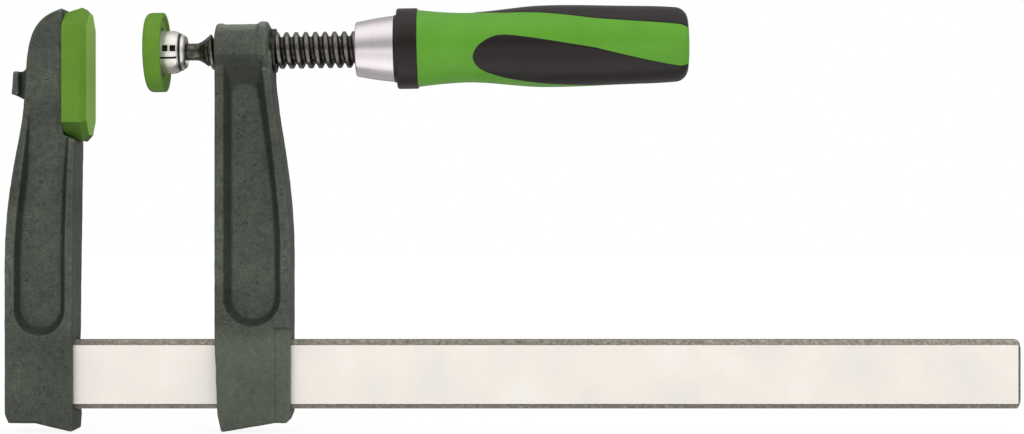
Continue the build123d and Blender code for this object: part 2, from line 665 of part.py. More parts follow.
def socket_sleeve():
    """Slotted sleeve over the hub, domed behind and closed in behind the bearing shell."""
    groove_end = SLEEVE_BODY_END + RING_GROOVE_LENGTH
    mouth_end = arc_height(SEAT_RADIUS, SLEEVE_MOUTH_RADIUS)
    flare_start = SLEEVE_END - 2 * SLEEVE_MOUTH_FLARE
    flange_end = PLATE_BACK + SLEEVE_FLANGE_THICKNESS
    half_seat = (SEAT_RADIUS + SEAT_RADIUS * sqrt(0.5)) / 2
    shoulder = (SLEEVE_SHOULDER, SLEEVE_RADIUS)
    body_end = (SLEEVE_BODY_END, SLEEVE_BODY_END_RADIUS)
    tail = (groove_end, SLEEVE_TAIL_RADIUS)
    tail_end = (SLEEVE_END, SLEEVE_TAIL_END_RADIUS)
    outline = [
        Line((PLATE_BACK, HUB_RADIUS), (PLATE_BACK, SLEEVE_FLANGE_RADIUS)),
        Line((PLATE_BACK, SLEEVE_FLANGE_RADIUS), (flange_end, SLEEVE_FLANGE_RADIUS)),
        Line((flange_end, SLEEVE_FLANGE_RADIUS), (flange_end, SLEEVE_RADIUS)),
        Line((flange_end, SLEEVE_RADIUS), shoulder),
        bent(shoulder, body_end, 0.1),
        Line(body_end, (SLEEVE_BODY_END, RING_GROOVE_RADIUS)),
        Line((SLEEVE_BODY_END, RING_GROOVE_RADIUS), (groove_end, RING_GROOVE_RADIUS)),
        Line((groove_end, RING_GROOVE_RADIUS), tail),
        bent(tail, tail_end, 0.05),
        Line(tail_end, (SLEEVE_END, SLEEVE_MOUTH_RADIUS + SLEEVE_MOUTH_FLARE)),
        Line((SLEEVE_END, SLEEVE_MOUTH_RADIUS + SLEEVE_MOUTH_FLARE), (flare_start, SLEEVE_MOUTH_RADIUS)),
        Line((flare_start, SLEEVE_MOUTH_RADIUS), (mouth_end, SLEEVE_MOUTH_RADIUS)),
        ThreePointArc(
            (mouth_end, SLEEVE_MOUTH_RADIUS),
            (arc_height(SEAT_RADIUS, half_seat), half_seat),
            (0, SEAT_RADIUS),
        ),
        Line((0, SEAT_RADIUS), (0, HUB_RADIUS)),
        Line((0, HUB_RADIUS), (PLATE_BACK, HUB_RADIUS)),
    ]
    body = revolve(make_face(outline), Axis.X)
    depth = 4 * (SLEEVE_RADIUS - HUB_RADIUS)
    window_start = flange_end + WINDOW_SETBACK
    for index in range(SLEEVE_WINDOWS):
        turn = index * 360 / SLEEVE_WINDOWS
        for step in range(2):
            window = Box(WINDOW_LENGTH, depth, WINDOW_WIDTH)
            middle = window_start + WINDOW_LENGTH / 2 + step * (WINDOW_LENGTH + WINDOW_BRIDGE)
            body -= Rot(turn - WINDOW_ANGLE, 0, 0) * Pos(middle, -SLEEVE_RADIUS, 0) * window
        slit = Box(SLIT_LENGTH, depth, SLIT_WIDTH)
        middle = flange_end + SLIT_LENGTH / 2
        body -= Rot(turn - SLIT_ANGLE, 0, 0) * Pos(middle, -SLEEVE_RADIUS, 0) * slit
    return SPINDLE_LINE * body


def retaining_ring():
    """Spring ring that sits in the sleeve's groove."""
    return SPINDLE_LINE * tube(
        SLEEVE_BODY_END,
        SLEEVE_BODY_END + RING_GROOVE_LENGTH,
        RING_GROOVE_RADIUS,
        RING_GROOVE_RADIUS + RING_THICKNESS,
    )


def swivel_pad_cap():
    """Round plastic cap that holds the pressure plate behind an inner lip."""
    face = -PAD_FACE_TO_BALL
    rim_end = face + PAD_CAP_THICKNESS
    inner = PAD_CAP_RADIUS - PAD_CAP_SIDE_WALL
    lip_end = PLATE_BACK + PAD_LIP_THICKNESS
    lip_radius = SLEEVE_FLANGE_RADIUS + PAD_LIP_CLEARANCE
    edge = PAD_CAP_BACK_EDGE
    outline = [
        Line((face, 0), (face, PAD_CAP_RADIUS - PAD_CAP_EDGE)),
        RadiusArc(
            (face, PAD_CAP_RADIUS - PAD_CAP_EDGE),
            (face + PAD_CAP_EDGE, PAD_CAP_RADIUS),
            PAD_CAP_EDGE,
        ),
        Line((face + PAD_CAP_EDGE, PAD_CAP_RADIUS), (rim_end - edge, PAD_CAP_RADIUS)),
        Line((rim_end - edge, PAD_CAP_RADIUS), (rim_end, PAD_CAP_RADIUS - edge)),
        Line((rim_end, PAD_CAP_RADIUS - edge), (rim_end, inner)),
        Line((rim_end, inner), (lip_end, inner - edge)),
        Line((lip_end, inner - edge), (lip_end, lip_radius)),
        Line((lip_end, lip_radius), (PLATE_BACK, lip_radius)),
        Line((PLATE_BACK, lip_radius), (PLATE_BACK, inner)),
        Line((PLATE_BACK, inner), (PLATE_FRONT, inner)),
        Line((PLATE_FRONT, inner), (PLATE_FRONT, 0)),
        Line((PLATE_FRONT, 0), (face, 0)),
    ]
    return SPINDLE_LINE * revolve(make_face(outline), Axis.X)


def ferrule():
    """Turned aluminium cone over the front of the handle's core."""
    inner = THREAD_RADIUS + INLAY_CLEARANCE
    bore = CORE_RADIUS
    edge = FERRULE_START + FERRULE_EDGE
    middle = (FERRULE_START + FERRULE_END) / 2
    outline = [
        Line((FERRULE_START, inner), (FERRULE_START, FERRULE_FRONT_RADIUS - FERRULE_EDGE)),
        ThreePointArc(
            (FERRULE_START, FERRULE_FRONT_RADIUS - FERRULE_EDGE),
            (
                FERRULE_START + ARC_MIDDLE * FERRULE_EDGE,
                FERRULE_FRONT_RADIUS - ARC_MIDDLE * FERRULE_EDGE,
            ),
            (edge, FERRULE_FRONT_RADIUS),
        ),
        ThreePointArc(
            (edge, FERRULE_FRONT_RADIUS),
            (middle, FERRULE_MID_RADIUS),
            (FERRULE_END, FERRULE_REAR_RADIUS),
        ),
        Line((FERRULE_END, FERRULE_REAR_RADIUS), (FERRULE_END, bore)),
        Line((FERRULE_END, bore), (CORE_START + FERRULE_WALL, bore)),
        Line((CORE_START + FERRULE_WALL, bore), (CORE_START, bore - FERRULE_WALL)),
        Line((CORE_START, bore - FERRULE_WALL), (CORE_START, inner)),
        Line((CORE_START, inner), (FERRULE_START, inner)),
    ]
    return SPINDLE_LINE * revolve(make_face(outline), Axis.X)


def handle_core():
    """Inner plastic body between the spindle's shank and the handle's outer pieces."""
    body = turned(
        (CORE_START, THREAD_RADIUS),
        (CORE_START, CORE_RADIUS - FERRULE_WALL),
        (CORE_START + FERRULE_WALL, CORE_RADIUS),
        (CORE_END, CORE_RADIUS),
        (CORE_END, 0),
        (SHANK_START, 0),
        (SHANK_START, THREAD_RADIUS),
    )
    return SPINDLE_LINE * body - spindle()


def handle_collar():
    """Black front ring of the handle, with a small step against the ferrule."""
    step_end = FERRULE_END + COLLAR_STEP_LENGTH
    return SPINDLE_LINE * turned(
        (FERRULE_END, CORE_RADIUS),
        (FERRULE_END, COLLAR_STEP_RADIUS),
        (step_end, COLLAR_STEP_RADIUS),
        (step_end, COLLAR_RADIUS - COLLAR_FRONT_EDGE),
        (step_end + COLLAR_FRONT_EDGE, COLLAR_RADIUS),
        (COLLAR_END - COLLAR_BACK_EDGE, COLLAR_RADIUS),
        (COLLAR_END, COLLAR_RADIUS - COLLAR_BACK_EDGE),
        (COLLAR_END, CORE_RADIUS),
    )


def grip_curve():
    """Side line of the handle's shell, from the collar to the rounded end."""
    tail = HANDLE_END - SHELL_TAIL_ROUNDING
    points = [
        (COLLAR_END, SHELL_FRONT_RADIUS),
        (COLLAR_END + SHELL_WAIST, SHELL_WAIST_RADIUS),
        (COLLAR_END + SHELL_BELLY, SHELL_BELLY_RADIUS),
        (COLLAR_END + SHELL_FLANK, SHELL_FLANK_RADIUS),
        (tail, SHELL_TAIL_RADIUS),
    ]
    side = Spline(*points, tangents=[(1, SHELL_FRONT_SLOPE), (1, SHELL_TAIL_SLOPE)])
    corner = ThreePointArc(
        (tail, SHELL_TAIL_RADIUS),
        (
            HANDLE_END - ARC_MIDDLE * SHELL_TAIL_ROUNDING,
            SHELL_TAIL_RADIUS - ARC_MIDDLE * SHELL_TAIL_ROUNDING,
        ),
        (HANDLE_END, SHELL_TAIL_RADIUS - SHELL_TAIL_ROUNDING),
    )
    return side, corner


def shell_blank(inner_end):
    """The handle's outer form, hollow for the core."""
    side, corner = grip_curve()
    outline = [
        side,
        corner,
        Line((HANDLE_END, SHELL_TAIL_RADIUS - SHELL_TAIL_ROUNDING), (HANDLE_END, 0)),
        Line((HANDLE_END, 0), (inner_end, 0)),
        Line((inner_end, 0), (inner_end, CORE_RADIUS)),
        Line((inner_end, CORE_RADIUS), (COLLAR_END, CORE_RADIUS)),
        Line((COLLAR_END, CORE_RADIUS), (COLLAR_END, SHELL_FRONT_RADIUS)),
    ]
    return revolve(make_face(outline), Axis.X)


def inlay_section(place, half_angle, inner):
    """Wedge of a ring across the handle, wider than the handle outside."""
    middle = inlay_middle(place - COLLAR_END - INLAY_TIP)
    outer = SHELL_BELLY_RADIUS + 2 * OVERCUT
    corners = []
    for angle, radius in (
        (middle - half_angle, inner),
        (middle - half_angle, outer),
        (middle + half_angle, outer),
        (middle + half_angle, inner),
    ):
        corners.append((radius * cos(radians(angle)), radius * sin(radians(angle))))
    inner_crown = (inner * cos(radians(middle)), inner * sin(radians(middle)))
    outer_crown = (outer * cos(radians(middle)), outer * sin(radians(middle)))
    wire = [
        Line(corners[0], corners[1]),
        ThreePointArc(corners[1], outer_crown, corners[2]),
        Line(corners[2], corners[3]),
        ThreePointArc(corners[3], inner_crown, corners[0]),
    ]
    plane = Plane(origin=(place, 0, 0), x_dir=(0, -1, 0), z_dir=(-1, 0, 0))
    return plane * make_face(wire)


def inlay_middle(run):
    """Angle of the inlay's middle line: level at the tip, then turning evenly to the end."""
    tail_run = HANDLE_END - COLLAR_END - INLAY_TIP
    share = max(0, run - INLAY_TWIST_START) / (tail_run - INLAY_TWIST_START)
    return INLAY_START_ANGLE + share * INLAY_TWIST


def inlay_half_angle(run):
    """Half the inlay's width as an angle, at a distance behind its round tip."""
    tail_run = HANDLE_END - COLLAR_END - INLAY_TIP
    if run < INLAY_FULL:
        return INLAY_HALF_ANGLE * sqrt(1 - (1 - run / INLAY_FULL) ** 2)
    if run < INLAY_TAPER_START:
        return INLAY_HALF_ANGLE
    share = (run - INLAY_TAPER_START) / (tail_run - INLAY_TAPER_START)
    return INLAY_HALF_ANGLE - share * (INLAY_HALF_ANGLE - INLAY_TAIL_HALF_ANGLE)


def inlay_cutter(draw_in):
    """Twisted teardrop wedge, drawn in by a clearance on its sides and floor."""
    angle_in = degrees(draw_in / SHELL_BELLY_RADIUS)
    tip = COLLAR_END + INLAY_TIP
    tail_run = HANDLE_END - tip + OVERCUT
    tip_runs = [INLAY_FULL * share**2 for share in INLAY_TIP_SHARES]
    tail_step = (tail_run - INLAY_FULL) / INLAY_TAIL_STEPS
    tail_runs = [INLAY_FULL + step * tail_step for step in range(1, INLAY_TAIL_STEPS + 1)]
    floor = SHELL_WAIST_RADIUS - INLAY_DEPTH + draw_in
    sections = []
    for run in tip_runs + tail_runs:
        half_angle = inlay_half_angle(run) - angle_in
        sections.append(inlay_section(tip + run, half_angle, floor))
    return loft(sections, ruled=True)


def write(name, shape):
    """Save one sub-part."""
    export_step(shape, os.path.join("parts", name + ".step"))


def main():
    os.makedirs("parts", exist_ok=True)
    write("bar", bar())
    write("fixed_arm", fixed_arm())
    write("fixed_jaw_cap", fixed_jaw_cap())
    write("sliding_arm", sliding_arm())
    write("spindle_nut", spindle_nut())
    write("spindle", spindle())
    write("ball_cup", ball_cup())
    write("pressure_plate", pressure_plate())
    write("socket_sleeve", socket_sleeve())
    write("retaining_ring", retaining_ring())
    write("swivel_pad_cap", swivel_pad_cap())
    write("ferrule", ferrule())
    write("handle_core", handle_core())
    write("handle_collar", handle_collar())
    shell = shell_blank(CORE_END)
    inlay_blank = shell_blank(CORE_END)
    cutter = inlay_cutter(0)
    inlay_tool = inlay_cutter(INLAY_CLEARANCE)
    for index in range(INLAY_COUNT):
        turn = Rot(index * 360 / INLAY_COUNT, 0, 0)
        shell -= turn * cutter
        write(f"grip_inlay_{index + 1}", SPINDLE_LINE * (inlay_blank & (turn * inlay_tool)))
    write("handle_shell", SPINDLE_LINE * shell)


main()
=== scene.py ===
"""The looks of a screw clamp: castings in hammered paint, a drawn steel bar, a blackened screw,
a zinc-plated ball socket, green moulded caps and a green handle with soft black inlays.

Lengths are in millimetres until a mesh is made. A place on the spindle is given as a distance
along its line from the ball's centre, positive towards the handle, and a radius from the line.
"""

import json
from types import SimpleNamespace
import bmesh
import bpy
import numpy as np
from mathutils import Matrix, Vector

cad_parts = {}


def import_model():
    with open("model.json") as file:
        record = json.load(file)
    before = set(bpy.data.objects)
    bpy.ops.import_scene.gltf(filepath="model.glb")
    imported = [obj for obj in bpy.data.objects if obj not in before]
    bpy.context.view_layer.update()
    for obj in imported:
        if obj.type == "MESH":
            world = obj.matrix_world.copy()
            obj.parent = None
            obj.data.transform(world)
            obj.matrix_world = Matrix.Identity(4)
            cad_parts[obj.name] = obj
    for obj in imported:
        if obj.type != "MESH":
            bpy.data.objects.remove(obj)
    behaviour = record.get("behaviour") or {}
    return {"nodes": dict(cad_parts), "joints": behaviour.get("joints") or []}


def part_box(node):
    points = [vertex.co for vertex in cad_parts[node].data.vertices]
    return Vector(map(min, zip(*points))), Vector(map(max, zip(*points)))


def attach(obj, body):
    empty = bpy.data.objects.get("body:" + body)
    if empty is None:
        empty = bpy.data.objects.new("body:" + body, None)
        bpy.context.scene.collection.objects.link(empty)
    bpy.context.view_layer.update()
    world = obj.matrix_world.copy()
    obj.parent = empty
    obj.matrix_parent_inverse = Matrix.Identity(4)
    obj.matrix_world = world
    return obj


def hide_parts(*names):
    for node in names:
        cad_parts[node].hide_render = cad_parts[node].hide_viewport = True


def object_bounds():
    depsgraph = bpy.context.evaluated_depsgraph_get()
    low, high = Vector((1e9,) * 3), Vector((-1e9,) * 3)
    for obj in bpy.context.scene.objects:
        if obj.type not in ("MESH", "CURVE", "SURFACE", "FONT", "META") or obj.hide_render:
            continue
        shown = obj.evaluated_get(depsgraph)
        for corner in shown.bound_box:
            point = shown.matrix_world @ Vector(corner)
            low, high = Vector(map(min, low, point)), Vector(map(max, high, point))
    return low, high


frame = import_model()
cad_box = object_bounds()

MM = 0.001
TAU = 2 * np.pi

# The spindle's line, read from the frame
TURN_JOINT = next(j for j in frame["joints"] if j["name"] == "spindle_turn")
BALL = np.array(TURN_JOINT["pos_m"]) / MM
ALONG = -np.array(TURN_JOINT["axis"])
ACROSS = np.array([0.0, -1.0, 0.0])
UPWARD = np.cross(ACROSS, ALONG)


def extent(node):
    """Where a CAD node lies: its start and end along the spindle's line, and its smallest and
    largest radius, which is a corner's offset from the ball less the part along the line."""
    offset = np.array([v.co[:] for v in frame["nodes"][node].data.vertices]) / MM - BALL
    place = offset @ ALONG
    radius = np.linalg.norm(offset - place[:, None] * ALONG, axis=1)
    return SimpleNamespace(start=place.min(), end=place.max(), inner=radius.min(), outer=radius.max())


SPINDLE = extent("spindle")
SHELL = extent("handle_shell")

# Screw: the thread, the flare where it runs out, the neck and the ball
THREAD_RADIUS = SPINDLE.outer
PITCH = 4.0
ROOT_RADIUS = 5.7
CREST_SHARE = 0.36
FLANK_SHARE = 0.21
NECK_RADIUS = 3.55
BALL_RADIUS = -SPINDLE.start
FLARE_START = 10.0
FLARE_END = 16.5
NECK_OVERLAP = 0.8
FLARE_POWER = 0.85
FLARE_INSET = 0.02
ROOT_MARGIN = 0.02
HIDDEN_THREAD = 4.0

# One flank of the thread: share of a pitch from its foot, share of the thread's depth
FLANK = (
    (0.01, 0.06), (0.03, 0.2), (FLANK_SHARE - 0.03, 0.78), (FLANK_SHARE, 0.92),
    (FLANK_SHARE + 0.05, 0.985),
)

# Points round a ring, and along a curved stretch of a profile
RING = 160
BUSH_RING = 128
SCREW_RING = 96
BALL_STEPS = 28
FERRULE_STEPS = 14
SHELL_STEPS = 170
INLAY_TIP_STEPS = 36
INLAY_SIDE_STEPS = 150
INLAY_ACROSS_STEPS = 41

# Castings: the sand's grain is the smallest detail kept, and each ripple is a height, a length,
# a number of waves and a seed
SAND_GRAIN = 0.55
SAND_SET_BACK = 0.06
RIPPLES = ((0.035, 9.0, 14, 3), (0.022, 3.2, 20, 5))
SHORTEST_WAVE = 0.75
LONGEST_WAVE = 1.4

# Fixed arm: the recess below the jaw seat gets deeper in a straight line from the rim
HALF_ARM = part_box("fixed_arm")[1][1] / MM
RAMP_TOP = -20.8
RAMP_END = -31.5
RECESS_DEPTH = 4.5
RAMP_LENGTH = 31.0
SEAT_BACK = -17.0
CAP_BACK = -9.9

# Bar
BAR_BEVEL = 2.1
BAR_END_BEVEL = 1.2
TOOTH_PITCH = 1.0
TOOTH_DEPTH = 0.14
TOOTH_MARGIN = 0.18
WIDE_SIDE_NORMAL = 0.95

# Ferrule and black front ring
FERRULE_FRONT_RADIUS = 11.45
FERRULE_MIDDLE_RADIUS = 12.8
FERRULE_NOSE = 1.4
FERRULE_NOSE_DROP = 0.35
FERRULE_SHOULDER = 0.9
FERRULE_SHOULDER_DROP = 0.05
FERRULE_WALL = 2.0
FERRULE_WALL_SLOPE = 1.0
FRONT_RING_STEP_RADIUS = 14.0
FRONT_RING_STEP = 1.2

# Round cap
CAP_RIM_HOLE = 14.7
CAP_HOLLOW = 14.1
CAP_LIP_TOP = 6.2
CAP_FLOOR = 5.0

# Threaded bush
BUSH_RADIUS = 8.9
FLANGE_LENGTH = 2.2
GROOVE_RADIUS = 8.4
GROOVE_START = 0.6
GROOVE_END = 1.1

# Handle: distances behind the black front ring, and angles in degrees up from the near side.
# A point of the grip line is such a distance and a radius
GRIP_LINE = ((0.0, 16.2), (19.0, 14.7), (51.0, 17.05), (84.0, 16.5), (106.7, 15.6))
GRIP_FRONT_SLOPE = -0.12
GRIP_REAR_SLOPE = -0.09
GRIP_END_ROUNDING = 5.5
GRIP_LENGTH = SHELL.end - SHELL.start
GRIP_TAIL = GRIP_LENGTH - GRIP_END_ROUNDING
INLAY_COUNT = 3
INLAY_TIP = 22.9
INLAY_FULL = 16.0
INLAY_TAPER_START = 50.0
INLAY_HALF_ANGLE = 38.4
INLAY_TAIL_HALF_ANGLE = 26.0
INLAY_START_ANGLE = -19.8
INLAY_TWIST_START = 9.5
INLAY_TWIST = -47.9
INLAY_END_BEND = 1.25
INLAY_EDGE = 0.9
INLAY_EDGE_DEPTH = 0.6
INLAY_THICKNESS = 1.2
INLAY_END_GAP = 0.05
INLAY_SINK = 0.04
SHELL_SINK = 0.22
SHELL_END_GAP = 0.1
SHELL_FRONT_EDGE = 0.9

# Camera: the picture's width is in pixels, and a pixel's size is that in the clamp's mid-plane
CAMERA_PLACE = (175.2, -880.0, -69.04)
CAMERA_NEAR = 10.0
PICTURE_WIDTH = 1024
PIXEL = 0.4165
SENSOR = 36.0


# Meshes: points nearer than a weld become one, and a rounding takes up at most its limit's share
# of a side. Faces that turn by less than the flat angle are one, past the edge angle is an edge
WELD = 0.0001
CAD_WELD = 0.002
ROUNDING_STEPS = 5
ROUNDING_LIMIT = 0.45
FLAT_ANGLE = 1.0
EDGE_ANGLE = 25.0


def link(name, mesh):
    """A new object at the origin that holds a finished mesh."""
    piece = bpy.data.objects.new(name, mesh)
    bpy.context.scene.collection.objects.link(piece)
    return piece


def mesh_from(name, points, quads, sharp=35.0):
    """Mesh of points in millimetres and rows of four corner numbers, poles merged, faces outwards.
    Edges that turn by more than the sharp angle, in degrees, stay crisp."""
    mesh = bpy.data.meshes.new(name)
    mesh.from_pydata((points * MM).tolist(), [], quads.tolist())
    form = bmesh.new()
    form.from_mesh(mesh)
    bmesh.ops.remove_doubles(form, verts=form.verts, dist=WELD * MM)
    bmesh.ops.dissolve_degenerate(form, edges=form.edges, dist=0.1 * WELD * MM)
    bmesh.ops.recalc_face_normals(form, faces=form.faces)
    form.to_mesh(mesh)
    form.free()
    mesh.polygons.foreach_set("use_smooth", np.ones(len(mesh.polygons), bool))
    mesh.set_sharp_from_angle(angle=np.radians(sharp))
    return mesh


def grid_quads(rows, columns, close_rows=False, shift=0):
    """Corner numbers of a grid whose columns close to a ring, and its rows too if asked.
    A shift joins the last column to the first one that many rows on."""
    last_row = rows if close_rows else rows - 1 - shift
    row, column = np.meshgrid(np.arange(last_row), np.arange(columns), indexing="ij")
    next_column = (column + 1) % columns
    carry = np.where(next_column == 0, shift, 0)
    here = row * columns + column
    beside = (row + carry) % rows * columns + next_column
    beyond = (row + 1 + carry) % rows * columns + next_column
    below = (row + 1) % rows * columns + column
    return np.stack([here, beside, beyond, below], -1).reshape(-1, 4)


def on_spindle(place, radius, angle):
    """Points at a place along the spindle, a radius and an angle up from the near side."""
    place, radius, angle = np.broadcast_arrays(place, radius, angle)
    offset = radius[..., None] * (np.cos(angle)[..., None] * ACROSS + np.sin(angle)[..., None] * UPWARD)
    return BALL + place[..., None] * ALONG + offset


def rounded(corners, radius):
    """Closed profile past the corners, each turned into a curve that starts a radius before it.
    A curve's point is the blend (1-t)^2 start + 2t(1-t) corner + t^2 end."""
    corners = np.array(corners, float)
    before = corners - np.roll(corners, 1, 0)
    after = np.roll(corners, -1, 0) - corners
    room_before = np.linalg.norm(before, axis=1, keepdims=True)
    room_after = np.linalg.norm(after, axis=1, keepdims=True)
    start = corners - before / room_before * np.minimum(radius, ROUNDING_LIMIT * room_before)
    end = corners + after / room_after * np.minimum(radius, ROUNDING_LIMIT * room_after)
    t = np.linspace(0, 1, ROUNDING_STEPS)[None, :, None]
    curve = (1 - t) ** 2 * start[:, None] + 2 * t * (1 - t) * corners[:, None] + t**2 * end[:, None]
    return curve.reshape(-1, 2)


def swept(place, radius, around, close=False):
    """Points and corner numbers of a profile swept once round the spindle's line.
    The profile runs from pole to pole, or closes on itself if asked."""
    angle = np.linspace(0, TAU, around, endpoint=False)
    points = on_spindle(place[:, None], radius[:, None], angle[None, :])
    return points.reshape(-1, 3), grid_quads(len(place), around, close_rows=close)


def waves(points, length, count, seed):
    """Smooth random field between about -1 and 1: the mean of cosines that run every way."""
    random = np.random.default_rng(seed)
    ways = random.normal(size=(count, 3))
    ways /= np.linalg.norm(ways, axis=1, keepdims=True)
    lengths = length * random.uniform(SHORTEST_WAVE, LONGEST_WAVE, count)
    phase = random.uniform(0, TAU, count)
    return np.cos(points @ (ways / lengths[:, None]).T * TAU + phase).sum(1) / np.sqrt(count)


def merged_copy(node, name):
    """Copy of a CAD node's mesh with its loose triangles joined."""
    mesh = frame["nodes"][node].data.copy()
    mesh.materials.clear()
    form = bmesh.new()
    form.from_mesh(mesh)
    bmesh.ops.remove_doubles(form, verts=form.verts, dist=CAD_WELD * MM)
    form.to_mesh(mesh)
    form.free()
    return link(name, mesh)


def applied(piece, name):
    """The piece's mesh with its modifiers worked in, as a new plain object."""
    bpy.context.view_layer.update()
    graph = bpy.context.evaluated_depsgraph_get()
    mesh = bpy.data.meshes.new_from_object(piece.evaluated_get(graph))
    bpy.data.objects.remove(piece)
    mesh.name = name
    return link(name, mesh)


def fettled(points):
    """Points of the fixed arm with the jaw seat's back corner ground down into the recess.
    There Y stays within a ramp: the rim's Y less the recess's depth times the share of the
    ramp's length that the point lies below its top."""
    x, y, z = points.T
    ramp = HALF_ARM - RECESS_DEPTH * (RAMP_TOP - z) / RAMP_LENGTH
    corner = (x > SEAT_BACK) & (x < CAP_BACK) & (z < RAMP_TOP) & (z > RAMP_END)
    ground = np.where(corner & (np.abs(y) > ramp), np.sign(y) * ramp, y)
    return np.stack([x, ground, z], 1)


def casting(node, name):
    """A cast arm: the CAD form with the soft edges of a sand mould and a faintly rippled skin.
    Each point moves in along its normal by a set-back less the sum of smooth random fields."""
    piece = merged_copy(node, name + "_blank")
    remesh = piece.modifiers.new("mould", "REMESH")
    remesh.mode = "VOXEL"
    remesh.voxel_size = SAND_GRAIN * MM
    soften = piece.modifiers.new("soften", "SMOOTH")
    soften.factor = 0.5
    soften.iterations = 2
    piece = applied(piece, name)
    mesh = piece.data
    count = len(mesh.vertices)
    points = np.empty(count * 3, np.float32)
    normals = np.empty(count * 3, np.float32)
    mesh.vertices.foreach_get("co", points)
    mesh.vertex_normals.foreach_get("vector", normals)
    points = points.reshape(-1, 3).astype(float) / MM
    normals = normals.reshape(-1, 3).astype(float)
    if node == "fixed_arm":
        points = fettled(points)
    lift = np.full(count, -SAND_SET_BACK)
    for height, length, waves_in_all, seed in RIPPLES:
        lift += height * waves(points, length, waves_in_all, seed)
    points += normals * np.minimum(lift, 0.0)[:, None]
    mesh.vertices.foreach_set("co", (points * MM).astype(np.float32).ravel())
    mesh.polygons.foreach_set("use_smooth", np.ones(len(mesh.polygons), bool))
    mesh.update()
    return piece


def moulded(node, name, edge, segments):
    """The CAD form with its edges rounded by a small radius, as a mould leaves them."""
    piece = merged_copy(node, name + "_blank")
    form = bmesh.new()
    form.from_mesh(piece.data)
    flat = np.radians(FLAT_ANGLE)
    bmesh.ops.dissolve_limit(form, angle_limit=flat, verts=form.verts, edges=form.edges)
    form.to_mesh(piece.data)
    form.free()
    bevel = piece.modifiers.new("edge", "BEVEL")
    bevel.width = edge * MM
    bevel.segments = segments
    bevel.limit_method = "ANGLE"
    bevel.angle_limit = np.radians(EDGE_ANGLE)
    bevel.harden_normals = True
    piece.data.polygons.foreach_set("use_smooth", np.ones(len(piece.data.polygons), bool))
    return applied(piece, name)


# Materials

# Size of each surface's grain. Grit, streaks and tool rings are drawn coarser than real, to show
PAINT_POOL = 2.2
PAINT_GRIT = 0.7
PAINT_DRIFT = 26.0
PAINT_CRATER = 1.5
DRAWING_STREAK = 0.5
HANDLING_CLOUD = 22.0
ROLLED_DAB = 1.6
OIL_FILM = 2.5
ZINC_WAVE = 3.0
BRONZE_SKIN = 1.5
TOOL_RING = 0.25
FLOW_CLOUD = 14.0

# Where a mark of painted shade or painted light, or the foot's wear, begins and where it is full:
# distances from the mid-plane, then heights
RECESS_WALL = np.array((9.6, 8.8)) * MM
LUG_SIDE = np.array((5.2, 4.4)) * MM
BELOW_BOSS = np.array((-4.0, -6.0)) * MM
BOSS_TOP = np.array((2.0, 8.0)) * MM
FOOT = np.array((-112.0, -122.0)) * MM

# The same for radii on the screw
ROOT_SHADE = np.array((ROOT_RADIUS + 0.6, ROOT_RADIUS)) * MM
PAST_NECK = np.array((4.6, 5.2)) * MM
CREST_WEAR_AND_HIGHLIGHT = np.array((THREAD_RADIUS - 0.7, THREAD_RADIUS - 0.15)) * MM


def linear(colour):
    """An sRGB hex colour as the linear red, green, blue and alpha that a shader takes."""
    value = np.array([int(colour[i:i + 2], 16) for i in (1, 3, 5)]) / 255
    value = np.where(value <= 0.04045, value / 12.92, ((value + 0.055) / 1.055) ** 2.4)
    return (*value.tolist(), 1.0)


def add(tree, kind, settings=None, links=None, stops=()):
    """A node with its settings, its inputs and its colour stops.
    An input, by name or number, takes a socket, another node's first output or a value."""
    node = tree.nodes.new(kind)
    for key, value in (settings or {}).items():
        setattr(node, key, value)
    for key, value in (links or {}).items():
        if isinstance(value, bpy.types.Node):
            value = next(socket for socket in value.outputs if socket.enabled)
        if isinstance(value, bpy.types.NodeSocket):
            tree.links.new(value, node.inputs[key])
        else:
            node.inputs[key].default_value = value
    for number, (position, colour) in enumerate(stops):
        if number > 1:
            node.color_ramp.elements.new(position)
        node.color_ramp.elements[number].position = position
        node.color_ramp.elements[number].color = linear(colour)
    return node


def start_material(name):
    """A material, its empty node tree, and a coordinate that is fixed to the piece."""
    material = bpy.data.materials.new(name)
    material.use_nodes = True
    tree = material.node_tree
    tree.nodes.clear()
    return material, tree, add(tree, "ShaderNodeTexCoord").outputs["Object"]


def finish_surface(tree, inputs):
    """The shader with its inputs, each a value or a node, and the material's output."""
    surface = add(tree, "ShaderNodeBsdfPrincipled", None, inputs)
    add(tree, "ShaderNodeOutputMaterial", None, {"Surface": surface})


def per_mm(size):
    """Noise scale for a grain of a size in millimetres."""
    return 1.0 / (size * MM)


def tint_for_wear_and_painted_light(tree, tone, colour, share, *marks):
    """A tone moved towards a colour by a share where all marks are full, for real wear and pits and for
    painted shade and painted light alike.
    A mark is a value, the limit where it has no effect and the one where it is full."""
    for value, none, full in marks:
        mark = add(tree, "ShaderNodeMapRange", {"interpolation_type": "SMOOTHSTEP"},
                   {"Value": value, "From Min": none, "From Max": full})
        share = add(tree, "ShaderNodeMath", {"operation": "MULTIPLY"}, {0: mark, 1: share})
    return add(tree, "ShaderNodeMix", {"data_type": "RGBA"},
               {"Factor": share, "A": tone, "B": linear(colour)})


